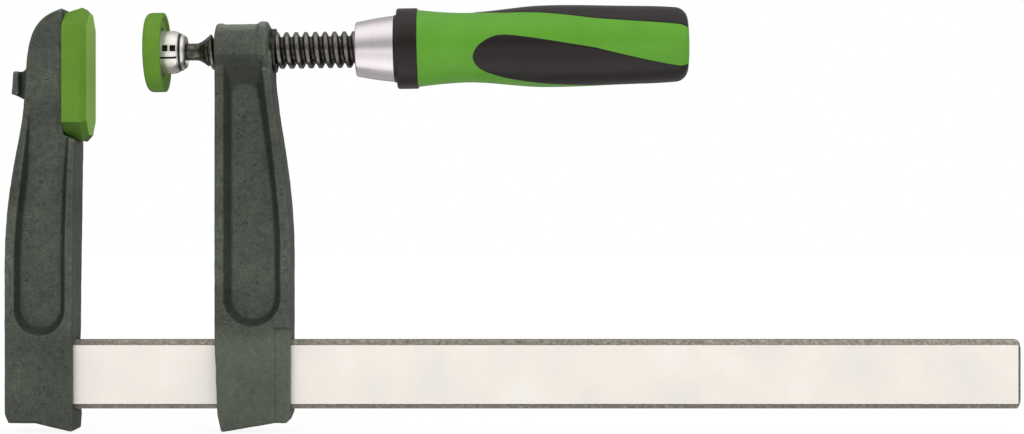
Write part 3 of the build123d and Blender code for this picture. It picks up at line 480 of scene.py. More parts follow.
def hammered_stove_paint(name, foot, foot_share):
    """Stove paint on a raw casting: small pools and pits, half gloss, mottled grey-green.
    The bar rubs the foot paler or soils it darker, as the foot's colour and share say. Painted shade
    darkens the recess walls, the lug's sides, undersides and inner corners, and painted light brightens
    the boss's top and the outer edges."""
    # Colours of painted shade and of painted highlight
    shade = "#141612"
    painted_highlight = "#8f9487"
    material, tree, place = start_material(name)
    pools = add(tree, "ShaderNodeTexNoise", None,
                {"Vector": place, "Scale": per_mm(PAINT_POOL), "Detail": 3.0, "Roughness": 0.62})
    grit = add(tree, "ShaderNodeTexNoise", None,
               {"Vector": place, "Scale": per_mm(PAINT_GRIT), "Detail": 2.0, "Roughness": 0.6})
    drift = add(tree, "ShaderNodeTexNoise", None,
                {"Vector": place, "Scale": per_mm(PAINT_DRIFT), "Detail": 2.0})
    craters = add(tree, "ShaderNodeTexNoise", None,
                  {"Vector": place, "Scale": per_mm(PAINT_CRATER), "Detail": 1.0})
    skin = add(tree, "ShaderNodeMix", {"data_type": "FLOAT"}, {"Factor": 0.55, "A": pools, "B": grit})
    skin = add(tree, "ShaderNodeMix", {"data_type": "FLOAT"}, {"Factor": 0.3, "A": skin, "B": drift})
    tone = add(tree, "ShaderNodeValToRGB", None, {"Fac": skin},
               [(0.365, "#31372e"), (0.46, "#42473e"), (0.55, "#4b5147"), (0.65, "#5f6559")])
    tone = tint_for_wear_and_painted_light(tree, tone, "#1a1d18", 0.55, (craters, 0.35, 0.27))

    way = add(tree, "ShaderNodeSeparateXYZ", None, {"Vector": place})
    depth = add(tree, "ShaderNodeMath", {"operation": "ABSOLUTE"}, {0: way.outputs["Y"]})
    height = way.outputs["Z"]
    geometry = add(tree, "ShaderNodeNewGeometry")
    facing = add(tree, "ShaderNodeSeparateXYZ", None, {"Vector": geometry.outputs["True Normal"]})
    lean = add(tree, "ShaderNodeMath", {"operation": "ABSOLUTE"}, {0: facing.outputs["Y"]})
    upward = facing.outputs["Z"]
    bend = geometry.outputs["Pointiness"]

    # Painted shade on the leaning walls of the recess, then on the sides of the lug
    tone = tint_for_wear_and_painted_light(tree, tone, shade, 0.6, (depth, *RECESS_WALL), (lean, 0.12, 0.3), (lean, 0.99, 0.8),
                (height, *BELOW_BOSS))
    tone = tint_for_wear_and_painted_light(tree, tone, shade, 0.5, (depth, *LUG_SIDE), (lean, 0.8, 0.95))
    # Painted shade on undersides, then painted light on the top of the boss, then the foot's wear
    tone = tint_for_wear_and_painted_light(tree, tone, shade, 0.5, (upward, -0.08, -0.26))
    tone = tint_for_wear_and_painted_light(tree, tone, painted_highlight, 0.5, (upward, 0.6, 0.98), (height, *BOSS_TOP))
    tone = tint_for_wear_and_painted_light(tree, tone, foot, foot_share, (height, *FOOT))
    # Painted highlight on outer edges, then painted shade in inner corners
    tone = tint_for_wear_and_painted_light(tree, tone, painted_highlight, 0.3, (bend, 0.512, 0.57))
    tone = tint_for_wear_and_painted_light(tree, tone, "#161814", 0.85, (bend, 0.494, 0.44))
    soft = add(tree, "ShaderNodeBump", None, {"Strength": 0.45, "Distance": 0.28 * MM, "Height": pools})
    fine = add(tree, "ShaderNodeBump", None,
               {"Strength": 0.4, "Distance": 0.12 * MM, "Height": grit, "Normal": soft})
    finish_surface(tree, {"Base Color": tone, "Roughness": 0.5, "Specular IOR Level": 0.3,
                          "Normal": fine})
    return material


def drawn_steel():
    """Bright cold-drawn flat steel: pale, with faint streaks fifty times as long as wide and
    soft clouds from handling."""
    material, tree, place = start_material("drawn_steel")
    long_way = add(tree, "ShaderNodeMapping", None, {"Vector": place, "Scale": (0.02, 1.0, 1.0)})
    streaks = add(tree, "ShaderNodeTexNoise", None,
                  {"Vector": long_way, "Scale": per_mm(DRAWING_STREAK), "Detail": 2.0})
    clouds = add(tree, "ShaderNodeTexNoise", None,
                 {"Vector": place, "Scale": per_mm(HANDLING_CLOUD), "Detail": 3.0, "Roughness": 0.5})
    tone = add(tree, "ShaderNodeValToRGB", None, {"Fac": clouds},
               [(0.30, "#f6f1e9"), (0.50, "#fcf5ec"), (0.70, "#fffaf1")])
    rough = add(tree, "ShaderNodeMapRange", None, {"Value": streaks, "To Min": 0.42, "To Max": 0.58})
    bump = add(tree, "ShaderNodeBump", None, {"Strength": 0.2, "Distance": 0.02 * MM, "Height": streaks})
    finish_surface(tree, {"Base Color": tone, "Metallic": 0.34, "Roughness": rough, "Normal": bump})
    return material


def rolled_edge():
    """Serrated bevel of the bar: dark rolling skin, brighter on the teeth from rubbing. Darker on the
    bevels that look down."""
    material, tree, place = start_material("rolled_edge")
    dabs = add(tree, "ShaderNodeTexNoise", None,
               {"Vector": place, "Scale": per_mm(ROLLED_DAB), "Detail": 3.0, "Roughness": 0.65})
    tone = add(tree, "ShaderNodeValToRGB", None, {"Fac": dabs},
               [(0.32, "#7f7c72"), (0.50, "#a09c90"), (0.70, "#c2bdb1")])
    normal = add(tree, "ShaderNodeNewGeometry").outputs["Normal"]
    facing = add(tree, "ShaderNodeSeparateXYZ", None, {"Vector": normal})
    tone = tint_for_wear_and_painted_light(tree, tone, "#4e4b44", 0.35, (facing.outputs["Z"], -0.2, -0.55))
    bump = add(tree, "ShaderNodeBump", None, {"Strength": 0.4, "Distance": 0.1 * MM, "Height": dabs})
    finish_surface(tree, {"Base Color": tone, "Metallic": 0.85, "Roughness": 0.5, "Normal": bump})
    return material


def black_oxide_steel():
    """Turned and blackened steel with a film of oil: near black, warm where the oil lies."""
    material, tree, place = start_material("black_oxide_steel")
    film = add(tree, "ShaderNodeTexNoise", None,
               {"Vector": place, "Scale": per_mm(OIL_FILM), "Detail": 3.0})
    tone = add(tree, "ShaderNodeValToRGB", None, {"Fac": film},
               [(0.35, "#383732"), (0.55, "#56554e"), (0.72, "#736b61")])
    tone = tint_for_wear_and_painted_light(tree, tone, "#1c1c19", 0.45)
    bump = add(tree, "ShaderNodeBump", None, {"Strength": 0.25, "Distance": 0.06 * MM, "Height": film})
    finish_surface(tree, {"Base Color": tone, "Metallic": 0.9, "Roughness": 0.28, "Normal": bump})
    return material


def thread_steel_with_wear_and_painted_light():
    """Rolled thread, blackened and oiled: painted shade darkens the root, and the crests are glossy and
    paler from rubbing wear and a painted highlight.
    The neck is thinner than the root, and stays as it is."""
    material, tree, place = start_material("thread_steel_with_wear_and_painted_light")
    film = add(tree, "ShaderNodeTexNoise", None,
               {"Vector": place, "Scale": per_mm(OIL_FILM), "Detail": 3.0})
    tone = add(tree, "ShaderNodeValToRGB", None, {"Fac": film},
               [(0.35, "#3c3b36"), (0.55, "#5b5a52"), (0.72, "#776f64")])
    from_line = add(tree, "ShaderNodeVectorMath", {"operation": "MULTIPLY"},
                    {0: place, 1: (0.0, 1.0, 1.0)})
    radius = add(tree, "ShaderNodeVectorMath", {"operation": "LENGTH"}, {0: from_line}).outputs["Value"]
    # Painted shade in the thread's root, kept off the thinner neck
    tone = tint_for_wear_and_painted_light(tree, tone, "#14140f", 0.4, (radius, *ROOT_SHADE), (radius, *PAST_NECK))
    # Crests paler from rubbing wear and a painted highlight
    tone = tint_for_wear_and_painted_light(tree, tone, "#a3a196", 0.4, (radius, *CREST_WEAR_AND_HIGHLIGHT))
    bump = add(tree, "ShaderNodeBump", None, {"Strength": 0.25, "Distance": 0.06 * MM, "Height": film})
    finish_surface(tree, {"Base Color": tone, "Metallic": 0.9, "Roughness": 0.2, "Normal": bump})
    return material


def zinc_plate():
    """Bright electro-plated zinc on pressed steel: pale and glossy with a slightly wavy skin.
    Painted shade makes it duller on top, brown underneath and dark on the turned-in lip at the ball."""
    material, tree, place = start_material("zinc_plate")
    skin = add(tree, "ShaderNodeTexNoise", None,
               {"Vector": place, "Scale": per_mm(ZINC_WAVE), "Detail": 2.0})
    tone = add(tree, "ShaderNodeValToRGB", None, {"Fac": skin}, [(0.3, "#f1f0e8"), (0.7, "#fffef8")])
    normal = add(tree, "ShaderNodeNewGeometry").outputs["Normal"]
    facing = add(tree, "ShaderNodeSeparateXYZ", None, {"Vector": normal})
    # Painted shade on top, underneath and on the turned-in lip
    tone = tint_for_wear_and_painted_light(tree, tone, "#77756f", 0.18, (facing.outputs["Z"], 0.35, 0.8))
    tone = tint_for_wear_and_painted_light(tree, tone, "#7d6552", 0.5, (facing.outputs["Z"], -0.4, -0.75))
    tone = tint_for_wear_and_painted_light(tree, tone, "#1e1e1a", 0.9, (facing.outputs["X"], 0.45, 0.7))
    bump = add(tree, "ShaderNodeBump", None, {"Strength": 0.2, "Distance": 0.08 * MM, "Height": skin})
    finish_surface(tree, {"Base Color": tone, "Metallic": 0.7, "Roughness": 0.24, "Normal": bump})
    return material


def bearing_bronze():
    """Pressed bronze liner, dark, seen only through the sleeve's windows."""
    material, tree, place = start_material("bearing_bronze")
    skin = add(tree, "ShaderNodeTexNoise", None,
               {"Vector": place, "Scale": per_mm(BRONZE_SKIN), "Detail": 2.0})
    tone = add(tree, "ShaderNodeValToRGB", None, {"Fac": skin}, [(0.3, "#2c2822"), (0.7, "#4a4338")])
    finish_surface(tree, {"Base Color": tone, "Metallic": 1.0, "Roughness": 0.4})
    return material


def turned_aluminium():
    """Fine-turned aluminium: pale, satin, with close rings from the tool."""
    material, tree, place = start_material("turned_aluminium")
    rings = add(tree, "ShaderNodeMapping", None, {"Vector": place, "Scale": (1.0, 0.03, 0.03)})
    tool = add(tree, "ShaderNodeTexNoise", None,
               {"Vector": rings, "Scale": per_mm(TOOL_RING), "Detail": 2.0})
    tone = add(tree, "ShaderNodeValToRGB", None, {"Fac": tool}, [(0.3, "#eee8eb"), (0.7, "#f8f2f5")])
    rough = add(tree, "ShaderNodeMapRange", None, {"Value": tool, "To Min": 0.26, "To Max": 0.34})
    bump = add(tree, "ShaderNodeBump", None, {"Strength": 0.1, "Distance": 0.03 * MM, "Height": tool})
    finish_surface(tree, {"Base Color": tone, "Metallic": 1.0, "Roughness": rough, "Normal": bump})
    return material


def moulded_plastic(name, low, high, roughness, pore, shine=0.5, lit_face_colour=None):
    """Injection-moulded plastic: even colour that drifts faintly from low to high with the flow,
    and a spark-eroded skin with pores of a size in millimetres.
    Given a lit-face colour, painted light makes the face that presses on the work paler, and painted
    shade darkens the undersides and the rounded edges."""
    material, tree, place = start_material(name)
    flow = add(tree, "ShaderNodeTexNoise", None,
               {"Vector": place, "Scale": per_mm(FLOW_CLOUD), "Detail": 2.0})
    skin = add(tree, "ShaderNodeTexNoise", None,
               {"Vector": place, "Scale": per_mm(pore), "Detail": 2.0})
    tone = add(tree, "ShaderNodeValToRGB", None, {"Fac": flow}, [(0.35, low), (0.65, high)])
    if lit_face_colour:
        geometry = add(tree, "ShaderNodeNewGeometry")
        facing = add(tree, "ShaderNodeSeparateXYZ", None, {"Vector": geometry.outputs["True Normal"]})
        # Painted light on the face that presses on the work, then painted shade underneath and on
        # rounded edges
        tone = tint_for_wear_and_painted_light(tree, tone, lit_face_colour, 1.0, (facing.outputs["X"], 0.7, 0.96))
        tone = tint_for_wear_and_painted_light(tree, tone, "#16300a", 0.6, (facing.outputs["Z"], -0.3, -0.6))
        tone = tint_for_wear_and_painted_light(tree, tone, "#2c4a12", 0.45, (geometry.outputs["Pointiness"], 0.52, 0.6))
    bump = add(tree, "ShaderNodeBump", None, {"Strength": 0.3, "Distance": 0.05 * MM, "Height": skin})
    finish_surface(tree, {"Base Color": tone, "Roughness": roughness, "IOR": 1.5,
                          "Specular IOR Level": shine, "Normal": bump})
    return material


def dress(piece, material, body, node):
    """Gives a piece its material and body, and hides the CAD node it stands for."""
    piece.data.materials.clear()
    piece.data.materials.append(material)
    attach(piece, body)
    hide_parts(node)


# Bar

def bar_loop(half_y, half_z, bite):
    """Bevelled rectangle in Y and Z, each bevel with two inner points sunk by a bite."""
    share = np.array([0.0, TOOTH_MARGIN, 1.0 - TOOTH_MARGIN, 1.0])
    sunk = np.array([0.0, 1.0, 1.0, 0.0]) * bite * np.sqrt(0.5)
    y = half_y - BAR_BEVEL * share - sunk
    z = half_z - BAR_BEVEL * (1 - share) - sunk
    corner = np.stack([y, z], 1)
    return np.concatenate([
        corner,
        (corner * (-1, 1))[::-1],
        corner * (-1, -1),
        (corner * (1, -1))[::-1],
    ])


def drawn_bar():
    """The bar's loop carried along X, its bevels bitten in and out once a tooth.
    The wide sides are bright; bevels, narrow sides and the free end keep the rolling skin."""
    low, high = (np.array(c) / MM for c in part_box("bar"))
    middle = (low + high) / 2
    half = (high - low) / 2
    end = high[0] - BAR_END_BEVEL
    stations = np.arange(low[0], end, TOOTH_PITCH / 2)
    rows = [bar_loop(half[1], half[2], TOOTH_DEPTH * (i % 2)) for i in range(len(stations))]
    rows.append(bar_loop(half[1], half[2], 0.0))
    rows.append(bar_loop(half[1] - BAR_END_BEVEL, half[2] - BAR_END_BEVEL, 0.0))
    stations = np.concatenate([[low[0]], stations, [end, high[0], high[0]]])
    pole = np.zeros_like(rows[0])
    loops = np.array([pole, *rows, pole])
    x = np.broadcast_to(stations[:, None], loops.shape[:2])
    points = np.stack([x, loops[..., 0], loops[..., 1] + middle[2]], -1)
    mesh = mesh_from("bar_steel", points.reshape(-1, 3), grid_quads(*loops.shape[:2]), sharp=30.0)
    dress(link("drawn_bar", mesh), STEEL, "bar_and_fixed_arm", "bar")
    mesh.materials.append(EDGE)
    skin = np.abs([face.normal.y for face in mesh.polygons]) < WIDE_SIDE_NORMAL
    mesh.polygons.foreach_set("material_index", skin.astype(np.int32))


# Spindle

def flare_radius(place):
    """Envelope of the screw: neck, then a hollow flare whose growth is one less a cosine, raised
    to a power, then full size."""
    t = np.clip((place - FLARE_START) / (FLARE_END - FLARE_START), 0, 1)
    return NECK_RADIUS + (THREAD_RADIUS - NECK_RADIUS) * (1 - np.cos(t * np.pi / 2)) ** FLARE_POWER


def screw():
    """Ball, neck and a right-hand trapezoidal thread.
    A thread point at angle A sits one pitch times A/360 nearer the ball than at angle 0. The
    grid's columns go round the other way, so its rows climb the helix, and the last column joins
    the first one a turn further on. The radius is the smaller of the flare's and the thread's."""
    ball_angle = np.linspace(0, np.pi - np.arcsin(NECK_RADIUS / BALL_RADIUS), BALL_STEPS)
    neck_end = FLARE_START + NECK_OVERLAP
    stem_place = np.concatenate([-BALL_RADIUS * np.cos(ball_angle), [neck_end, neck_end]])
    stem_radius = np.concatenate([BALL_RADIUS * np.sin(ball_angle), [NECK_RADIUS, 0.0]])
    stem, stem_quads = swept(stem_place, stem_radius, SCREW_RING)

    gap = 1 - CREST_SHARE - 2 * FLANK_SHARE
    root = [(0.0, 0.0), (gap / 2, 0.0), (gap - ROOT_MARGIN, 0.0)]
    crest = [(gap + FLANK_SHARE + CREST_SHARE / 2, 1.0)]
    rise = np.array(FLANK) + (gap, 0.0)
    fall = (np.array(FLANK) * (-1, 1) + (1.0, 0.0))[::-1]
    form = np.concatenate([root, rise, crest, fall])
    turns = int((extent("ferrule").start + HIDDEN_THREAD - FLARE_START) / PITCH) + 2
    turn = np.arange(turns)[:, None] - 1
    row_place = (FLARE_START + (turn + form[:, 0]) * PITCH).ravel()
    row_depth = np.tile(form[:, 1], turns)
    angle = np.linspace(0, TAU, SCREW_RING, endpoint=False)
    place = row_place[:, None] + PITCH * angle / TAU
    thread = ROOT_RADIUS + (THREAD_RADIUS - ROOT_RADIUS) * row_depth[:, None]
    radius = np.minimum(thread, flare_radius(place) - FLARE_INSET)
    helix = on_spindle(place, radius, -angle).reshape(-1, 3)
    helix_quads = grid_quads(len(row_place), SCREW_RING, shift=len(form))
    points = np.concatenate([stem, helix])
    quads = np.concatenate([stem_quads, helix_quads + len(stem)])
    return mesh_from("screw_thread", points, quads, sharp=28.0)


# Turned pieces

def turned_piece(name, corners, material, body, node, around=RING):
    """Corners, each a place along the spindle, a radius and a rounding, swept round its line."""
    table = np.array(corners, float)
    place, radius = rounded(table[:, :2], table[:, 2:]).T
    mesh = mesh_from(name, *swept(place, radius, around, close=True))
    dress(link(name, mesh), material, body, node)


def ferrule():
    """Turned cone with a slightly bellied side: the parabola through its front, middle and rear."""
    cone = extent("ferrule")
    core = extent("handle_core").outer
    t = np.linspace(0.0, 1.0, FERRULE_STEPS)
    side = (
        FERRULE_FRONT_RADIUS * (1 - t) * (1 - 2 * t)
        + 4 * FERRULE_MIDDLE_RADIUS * t * (1 - t)
        + cone.outer * t * (2 * t - 1)
    )
    places = cone.start + FERRULE_NOSE + t * (cone.end - cone.start - FERRULE_NOSE)
    wall = cone.start + FERRULE_WALL
    turned_piece("turned_ferrule", [
        (cone.start, cone.inner, 0.2), (cone.start, FERRULE_FRONT_RADIUS - FERRULE_NOSE_DROP, 1.0),
        (cone.start + FERRULE_SHOULDER, FERRULE_FRONT_RADIUS - FERRULE_SHOULDER_DROP, 0.8),
        *((place, radius, 0.0) for place, radius in zip(places[1:], side[1:])),
        (cone.end, core, 0.0), (wall + FERRULE_WALL_SLOPE, core, 0.0), (wall, cone.inner, 0.0),
    ], ALLOY, "spindle", "ferrule")


def collar():
    """Moulded black front ring with a step towards the ferrule."""
    ring = extent("handle_collar")
    step = ring.start + FRONT_RING_STEP
    turned_piece("front_ring", [
        (ring.start, ring.inner, 0.0), (ring.start, FRONT_RING_STEP_RADIUS, 0.3),
        (step, FRONT_RING_STEP_RADIUS, 0.2), (step, ring.outer, 1.1),
        (ring.end, ring.outer, 0.6), (ring.end, ring.inner, 0.0),
    ], GRIP_BLACK, "spindle", "handle_collar")


def pad_cap():
    """Round moulded cap: a soft front edge, a thin rear rim, and a lip round the recess in its back."""
    cap = extent("swivel_pad_cap")
    lip = cap.start + CAP_LIP_TOP
    floor_place = cap.start + CAP_FLOOR
    turned_piece("round_cap", [
        (cap.start, 0.0, 0.0), (cap.start, cap.outer, 2.6), (cap.end, cap.outer, 0.7),
        (cap.end, CAP_RIM_HOLE, 0.4), (lip, CAP_HOLLOW, 0.3), (lip, cap.inner, 0.3),
        (floor_place, cap.inner, 0.0), (floor_place, 0.0, 0.0),
    ], CAP_GREEN, "swivel_pad", "swivel_pad_cap")


def thread_bush():
    """Threaded bush: plain body inside the boss and a grooved flange behind it."""
    bush = extent("spindle_nut")
    flange = bush.end - FLANGE_LENGTH
    groove = flange + GROOVE_START
    groove_end = flange + GROOVE_END
    turned_piece("thread_bush", [
        (bush.start, bush.inner, 0.1), (bush.start, BUSH_RADIUS, 0.2), (flange, BUSH_RADIUS, 0.0),
        (flange, bush.outer, 0.2), (groove, bush.outer, 0.15), (groove, GROOVE_RADIUS, 0.1),
        (groove_end, GROOVE_RADIUS, 0.1), (groove_end, bush.outer, 0.15),
        (bush.end, bush.outer, 0.5), (bush.end, bush.inner, 0.3),
    ], BLACK, "sliding_arm", "spindle_nut", BUSH_RING)


# Handle

def grip_radius(run):
    """Handle radius at a distance behind the front ring: cubic pieces through the grip line's
    points, each with the slope between its neighbours, then a quarter-round end."""
    line = np.array(GRIP_LINE)
    slope = np.gradient(line[:, 1], line[:, 0])
    slope[0] = GRIP_FRONT_SLOPE
    slope[-1] = GRIP_REAR_SLOPE
    index = np.clip(np.searchsorted(line[:, 0], run, side="right") - 1, 0, len(line) - 2)
    width = line[index + 1, 0] - line[index, 0]
    t = np.clip((run - line[index, 0]) / width, 0, 1)
    return (
        (2 * t**3 - 3 * t**2 + 1) * line[index, 1]
        + (t**3 - 2 * t**2 + t) * width * slope[index]
        + (3 * t**2 - 2 * t**3) * line[index + 1, 1]
        + (t**3 - t**2) * width * slope[index + 1]
    )


def grip_surface(travel):
    """Place and radius at a distance travelled over the handle: along its side, then round its end."""
    bend = np.clip((travel - GRIP_TAIL) / GRIP_END_ROUNDING, 0, np.pi / 2)
    place = np.minimum(travel, GRIP_TAIL) + GRIP_END_ROUNDING * np.sin(bend)
    radius = grip_radius(np.minimum(travel, GRIP_TAIL)) - GRIP_END_ROUNDING * (1 - np.cos(bend))
    return place, radius


def handle_shell():
    """Green shell: the grip line turned, sunk a little under the inlays, closed at both ends."""
    travel = np.linspace(0, GRIP_TAIL + GRIP_END_ROUNDING * np.pi / 2, SHELL_STEPS)
    place, radius = grip_surface(travel)
    radius[1:] -= SHELL_SINK
    place = np.concatenate([[0.0, 0.0], place, [GRIP_LENGTH, GRIP_LENGTH]])
    front_edge = GRIP_LINE[0][1] - SHELL_FRONT_EDGE
    radius = np.concatenate([[0.0, front_edge], radius, [radius[-1] / 2, 0.0]])
    place = SHELL.start + np.minimum(place, GRIP_LENGTH - SHELL_END_GAP)
    return mesh_from("grip_shell", *swept(place, radius, RING), sharp=40.0)


def inlay_half_angle(run):
    """Half an inlay's width: a quarter ellipse from the tip, level, then a straight taper."""
    left = 1 - np.clip(run / INLAY_FULL, 0, 1)
    tip = INLAY_HALF_ANGLE * np.sqrt(1 - left**2)
    taper = GRIP_LENGTH - INLAY_TIP - INLAY_TAPER_START
    share = np.clip((run - INLAY_TAPER_START) / taper, 0, 1)
    return tip - share * (INLAY_HALF_ANGLE - INLAY_TAIL_HALF_ANGLE)


def grip_inlay(index):
    """Twisted teardrop: a crowned strip over the shell whose edges roll in, and a sunk underside."""
    full = GRIP_TAIL + GRIP_END_ROUNDING * INLAY_END_BEND
    bend = np.linspace(0, np.pi / 2, INLAY_TIP_STEPS)
    side = np.linspace(INLAY_FULL, full - INLAY_TIP, INLAY_SIDE_STEPS)[1:]
    travel = INLAY_TIP + np.concatenate([INLAY_FULL * (1 - np.cos(bend)), side])
    place, radius = grip_surface(travel)
    half = np.radians(inlay_half_angle(travel - INLAY_TIP))
    twist_start = INLAY_TIP + INLAY_TWIST_START
    turned_share = np.clip(place - twist_start, 0, None) / (GRIP_LENGTH - twist_start)
    middle = np.radians(INLAY_START_ANGLE + INLAY_TWIST * turned_share) + index * TAU / INLAY_COUNT
    across = np.sin(np.linspace(-np.pi / 2, np.pi / 2, INLAY_ACROSS_STEPS))
    from_edge = (1 - np.abs(across)) * (half * radius)[:, None]
    from_end = (full - travel)[:, None]
    roll = np.clip(from_edge / INLAY_EDGE, 0, 1) * np.clip(from_end / INLAY_EDGE, 0, 1)
    sink = INLAY_SINK + INLAY_EDGE_DEPTH * (1 - np.sqrt(1 - (1 - roll) ** 2))
    top = radius[:, None] - sink
    under = np.broadcast_to(radius[:, None] - INLAY_THICKNESS, top.shape)
    angle = middle[:, None] + half[:, None] * across
    loop_radius = np.concatenate([top, under[:, ::-1]], 1)
    loop_angle = np.concatenate([angle, angle[:, ::-1]], 1)
    place = SHELL.start - INLAY_END_GAP + place
    points = on_spindle(place[:, None], loop_radius, loop_angle)
    ends = np.repeat(points[[0, -1]].mean(1, keepdims=True), points.shape[1], 1)
    points = np.concatenate([ends[:1], points, ends[1:]])
    quads = grid_quads(*points.shape[:2])
    return mesh_from("grip_inlay", points.reshape(-1, 3), quads, sharp=50.0)


# Pieces

FIXED_PAINT = hammered_stove_paint("soiled_hammered_paint", "#22261f", 0.14)
SLIDING_PAINT = hammered_stove_paint("sliding_arm_hammered_paint", "#8a9382", 0.13)
STEEL = drawn_steel()
EDGE = rolled_edge()
BLACK = black_oxide_steel()
THREAD_BLACK = thread_steel_with_wear_and_painted_light()
ZINC = zinc_plate()
BRONZE = bearing_bronze()
ALLOY = turned_aluminium()
CAP_GREEN = moulded_plastic("soft_cap_plastic", "#588220", "#5e8923", 0.55, 0.5, 0.3)
# The jaw cap's last colour paints light on its front face
JAW_GREEN = moulded_plastic("cap_plastic_lit_in_front", "#588220", "#5e8923", 0.55, 0.5, 0.3, "#83ad44")
HANDLE_GREEN = moulded_plastic("hard_handle_plastic", "#559620", "#599c23", 0.36, 0.6, 0.4)
GRIP_BLACK = moulded_plastic("soft_grip_rubber", "#181210", "#1e1714", 0.34, 0.4, 0.36)
CORE_BLACK = moulded_plastic("core_plastic", "#1d1c1c", "#242222", 0.5, 0.8)

fixed_casting = casting("fixed_arm", "fixed_casting")
dress(fixed_casting, FIXED_PAINT, "bar_and_fixed_arm", "fixed_arm")
sliding_casting = casting("sliding_arm", "sliding_casting")
dress(sliding_casting, SLIDING_PAINT, "sliding_arm", "sliding_arm")
drawn_bar()
jaw_cap = moulded("fixed_jaw_cap", "jaw_cap", edge=0.8, segments=4)
dress(jaw_cap, JAW_GREEN, "bar_and_fixed_arm", "fixed_jaw_cap")
dress(link("screw", screw()), THREAD_BLACK, "spindle", "spindle")
dress(link("grip_shell", handle_shell()), HANDLE_GREEN, "spindle", "handle_shell")
for number in range(INLAY_COUNT):
    inlay = link(f"soft_inlay_{number + 1}", grip_inlay(number))
    dress(inlay, GRIP_BLACK, "spindle", f"grip_inlay_{number + 1}")

ferrule()
collar()
pad_cap()
thread_bush()

# These nodes are shown as the CAD made them
for node, material in (
    # The pressure plate's black also stands in for the shade inside the sleeve's windows
    ("retaining_ring", BLACK), ("ball_cup", BRONZE), ("pressure_plate", BLACK),
    ("socket_sleeve", ZINC), ("handle_core", CORE_BLACK),
):
    mesh = frame["nodes"][node].data
    mesh.materials.clear()
    mesh.materials.append(material)


# Stage

# Brightness of the room in reflections, by the angle round the X axis from the front upwards
ROOM_BANDS = (
    (-180, 0.2), (-158, 0.32), (-140, 0.48), (-116, 0.38), (-102, 0.58), (-88, 0.95), (-70, 1.22),
    (-49, 1.1), (-28, 0.85), (-17, 0.95), (-9, 1.15), (-2, 0.5), (12, 0.4), (26, 0.46), (48, 0.95),
    (78, 1.1), (98, 0.95), (125, 0.5), (145, 0.45), (160, 0.32), (180, 0.2),
)
BRIGHTEST = 1.4
SIDE_DARKENING = 0.55
LIGHT_FROM_LEFT = 0.75
LIGHT_FROM_RIGHT = 1.5
FLOOR_HALF_SIZE = 4000.0
FLOOR_GAP = 0.1
FLOOR_GLOW = 1.05
FLOOR_GLOW_SHARE = 0.86
LAMP_PLACE = (-250.0, -1100.0, 900.0)
LAMP_AIM = (170.0, 0.0, -60.0)
LAMP_SIZE = 500.0
LAMP_POWER = 5.0


def floor():
    """Large pale floor under the soles: white to the camera but for the object's faint shadow.
    It is left out of reflections, so that no horizon shows in them, and clear from below."""
    level = cad_box[0][2] / MM - FLOOR_GAP
    half = FLOOR_HALF_SIZE
    corners = np.array([(-half, -half), (half, -half), (half, half), (-half, half)])
    corners = np.column_stack([corners, np.full(4, level)])
    mesh = bpy.data.meshes.new("floor")
    mesh.from_pydata((corners * MM).tolist(), [], [(0, 1, 2, 3)])
    material, tree = start_material("pale_floor")[:2]
    paper = add(tree, "ShaderNodeBsdfPrincipled", None,
                {"Base Color": linear("#f2f2f0"), "Roughness": 0.9})
    rays = add(tree, "ShaderNodeLightPath")
    glow = add(tree, "ShaderNodeEmission", None, {"Color": linear("#ffffff"), "Strength": FLOOR_GLOW})
    seen = add(tree, "ShaderNodeMath", {"operation": "MULTIPLY"},
               {0: rays.outputs["Is Camera Ray"], 1: FLOOR_GLOW_SHARE})
    lit = add(tree, "ShaderNodeMixShader", None, {0: seen, 1: paper, 2: glow})
    clear = add(tree, "ShaderNodeBsdfTransparent")
    underside = add(tree, "ShaderNodeNewGeometry").outputs["Backfacing"]
    through = add(tree, "ShaderNodeMath", {"operation": "MAXIMUM"},
                  {0: rays.outputs["Is Glossy Ray"], 1: underside})
    shown = add(tree, "ShaderNodeMixShader", None, {0: through, 1: lit, 2: clear})
    add(tree, "ShaderNodeOutputMaterial", None, {"Surface": shown})
    mesh.materials.append(material)
    link("floor", mesh)


def lamp():
    """Square soft lamp from the upper left front, which reflections leave out."""
    light = bpy.data.lights.new("key", "AREA")
    light.size = LAMP_SIZE * MM
    light.energy = LAMP_POWER
    piece = bpy.data.objects.new("key", light)
    bpy.context.scene.collection.objects.link(piece)
    way = Vector(LAMP_AIM) - Vector(LAMP_PLACE)
    piece.location = Vector(LAMP_PLACE) * MM
    piece.rotation_euler = way.to_track_quat("-Z", "Y").to_euler()
    piece.visible_glossy = False


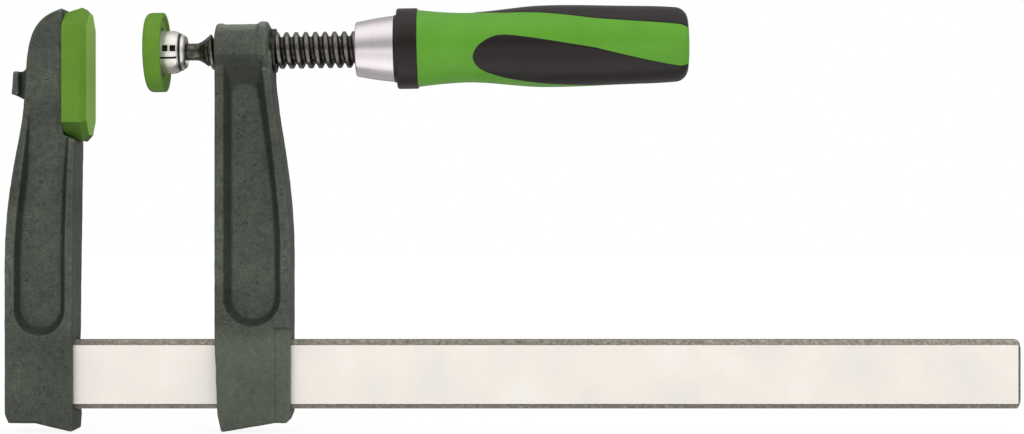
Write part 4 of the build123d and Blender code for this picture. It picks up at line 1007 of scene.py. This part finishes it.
def world():
    """Pale room: white to the camera, brighter from the right as light, and in reflections a tall
    softbox above, a low one in front and darker bands between them."""
    room = bpy.data.worlds.new("room")
    room.use_nodes = True
    tree = room.node_tree
    tree.nodes.clear()
    rays = add(tree, "ShaderNodeLightPath")
    direction = add(tree, "ShaderNodeTexCoord").outputs["Generated"]
    way = add(tree, "ShaderNodeSeparateXYZ", None, {"Vector": direction})
    front = add(tree, "ShaderNodeMath", {"operation": "MULTIPLY"}, {0: way.outputs["Y"], 1: -1.0})
    round_x = add(tree, "ShaderNodeMath", {"operation": "ARCTAN2"}, {0: way.outputs["Z"], 1: front})
    share = add(tree, "ShaderNodeMapRange", None,
                {"Value": round_x, "From Min": -np.pi, "From Max": np.pi})
    bands = add(tree, "ShaderNodeFloatCurve", None, {"Value": share})
    curve = bands.mapping.curves[0]
    points = [((angle + 180) / 360, level / BRIGHTEST) for angle, level in ROOM_BANDS]
    curve.points[0].location = points[0]
    curve.points[1].location = points[-1]
    for point in points[1:-1]:
        curve.points.new(*point)
    bands.mapping.update()
    aside = add(tree, "ShaderNodeMath", {"operation": "ABSOLUTE"}, {0: way.outputs["X"]})
    dimmed = add(tree, "ShaderNodeMapRange", None,
                 {"Value": aside, "From Min": 0.5, "To Min": BRIGHTEST,
                  "To Max": BRIGHTEST * SIDE_DARKENING})
    bright = add(tree, "ShaderNodeMath", {"operation": "MULTIPLY"}, {0: bands, 1: dimmed})
    sideways = add(tree, "ShaderNodeMapRange", {"interpolation_type": "SMOOTHSTEP"},
                   {"Value": way.outputs["X"], "From Min": -0.1, "From Max": 0.6,
                    "To Min": LIGHT_FROM_LEFT, "To Max": LIGHT_FROM_RIGHT})
    even = add(tree, "ShaderNodeBackground", None, {"Color": linear("#f6f7f8"), "Strength": sideways})
    banded = add(tree, "ShaderNodeBackground", None, {"Color": linear("#fbf8fa"), "Strength": bright})
    white = add(tree, "ShaderNodeBackground", None, {"Color": linear("#ffffff"), "Strength": 1.0})
    light = add(tree, "ShaderNodeMixShader", None,
                {0: rays.outputs["Is Glossy Ray"], 1: even, 2: banded})
    seen = add(tree, "ShaderNodeMath", {"operation": "MAXIMUM"},
               {0: rays.outputs["Is Camera Ray"], 1: rays.outputs["Is Transmission Ray"]})
    mix = add(tree, "ShaderNodeMixShader", None, {0: seen, 1: light, 2: white})
    add(tree, "ShaderNodeOutputWorld", None, {"Surface": mix})
    bpy.context.scene.world = room


def camera():
    """Camera level with the middle of the picture, looking along +Y."""
    data = bpy.data.cameras.new("camera")
    data.sensor_width = SENSOR
    data.lens = SENSOR * -CAMERA_PLACE[1] / (PICTURE_WIDTH * PIXEL)
    data.clip_start = CAMERA_NEAR * MM
    piece = bpy.data.objects.new("camera", data)
    piece.location = np.array(CAMERA_PLACE) * MM
    piece.rotation_euler = (np.pi / 2, 0.0, 0.0)
    bpy.context.scene.collection.objects.link(piece)
    bpy.context.scene.camera = piece


floor()
world()
camera()
lamp()
bpy.context.scene.view_settings.view_transform = "Standard"

bpy.context.view_layer.update()
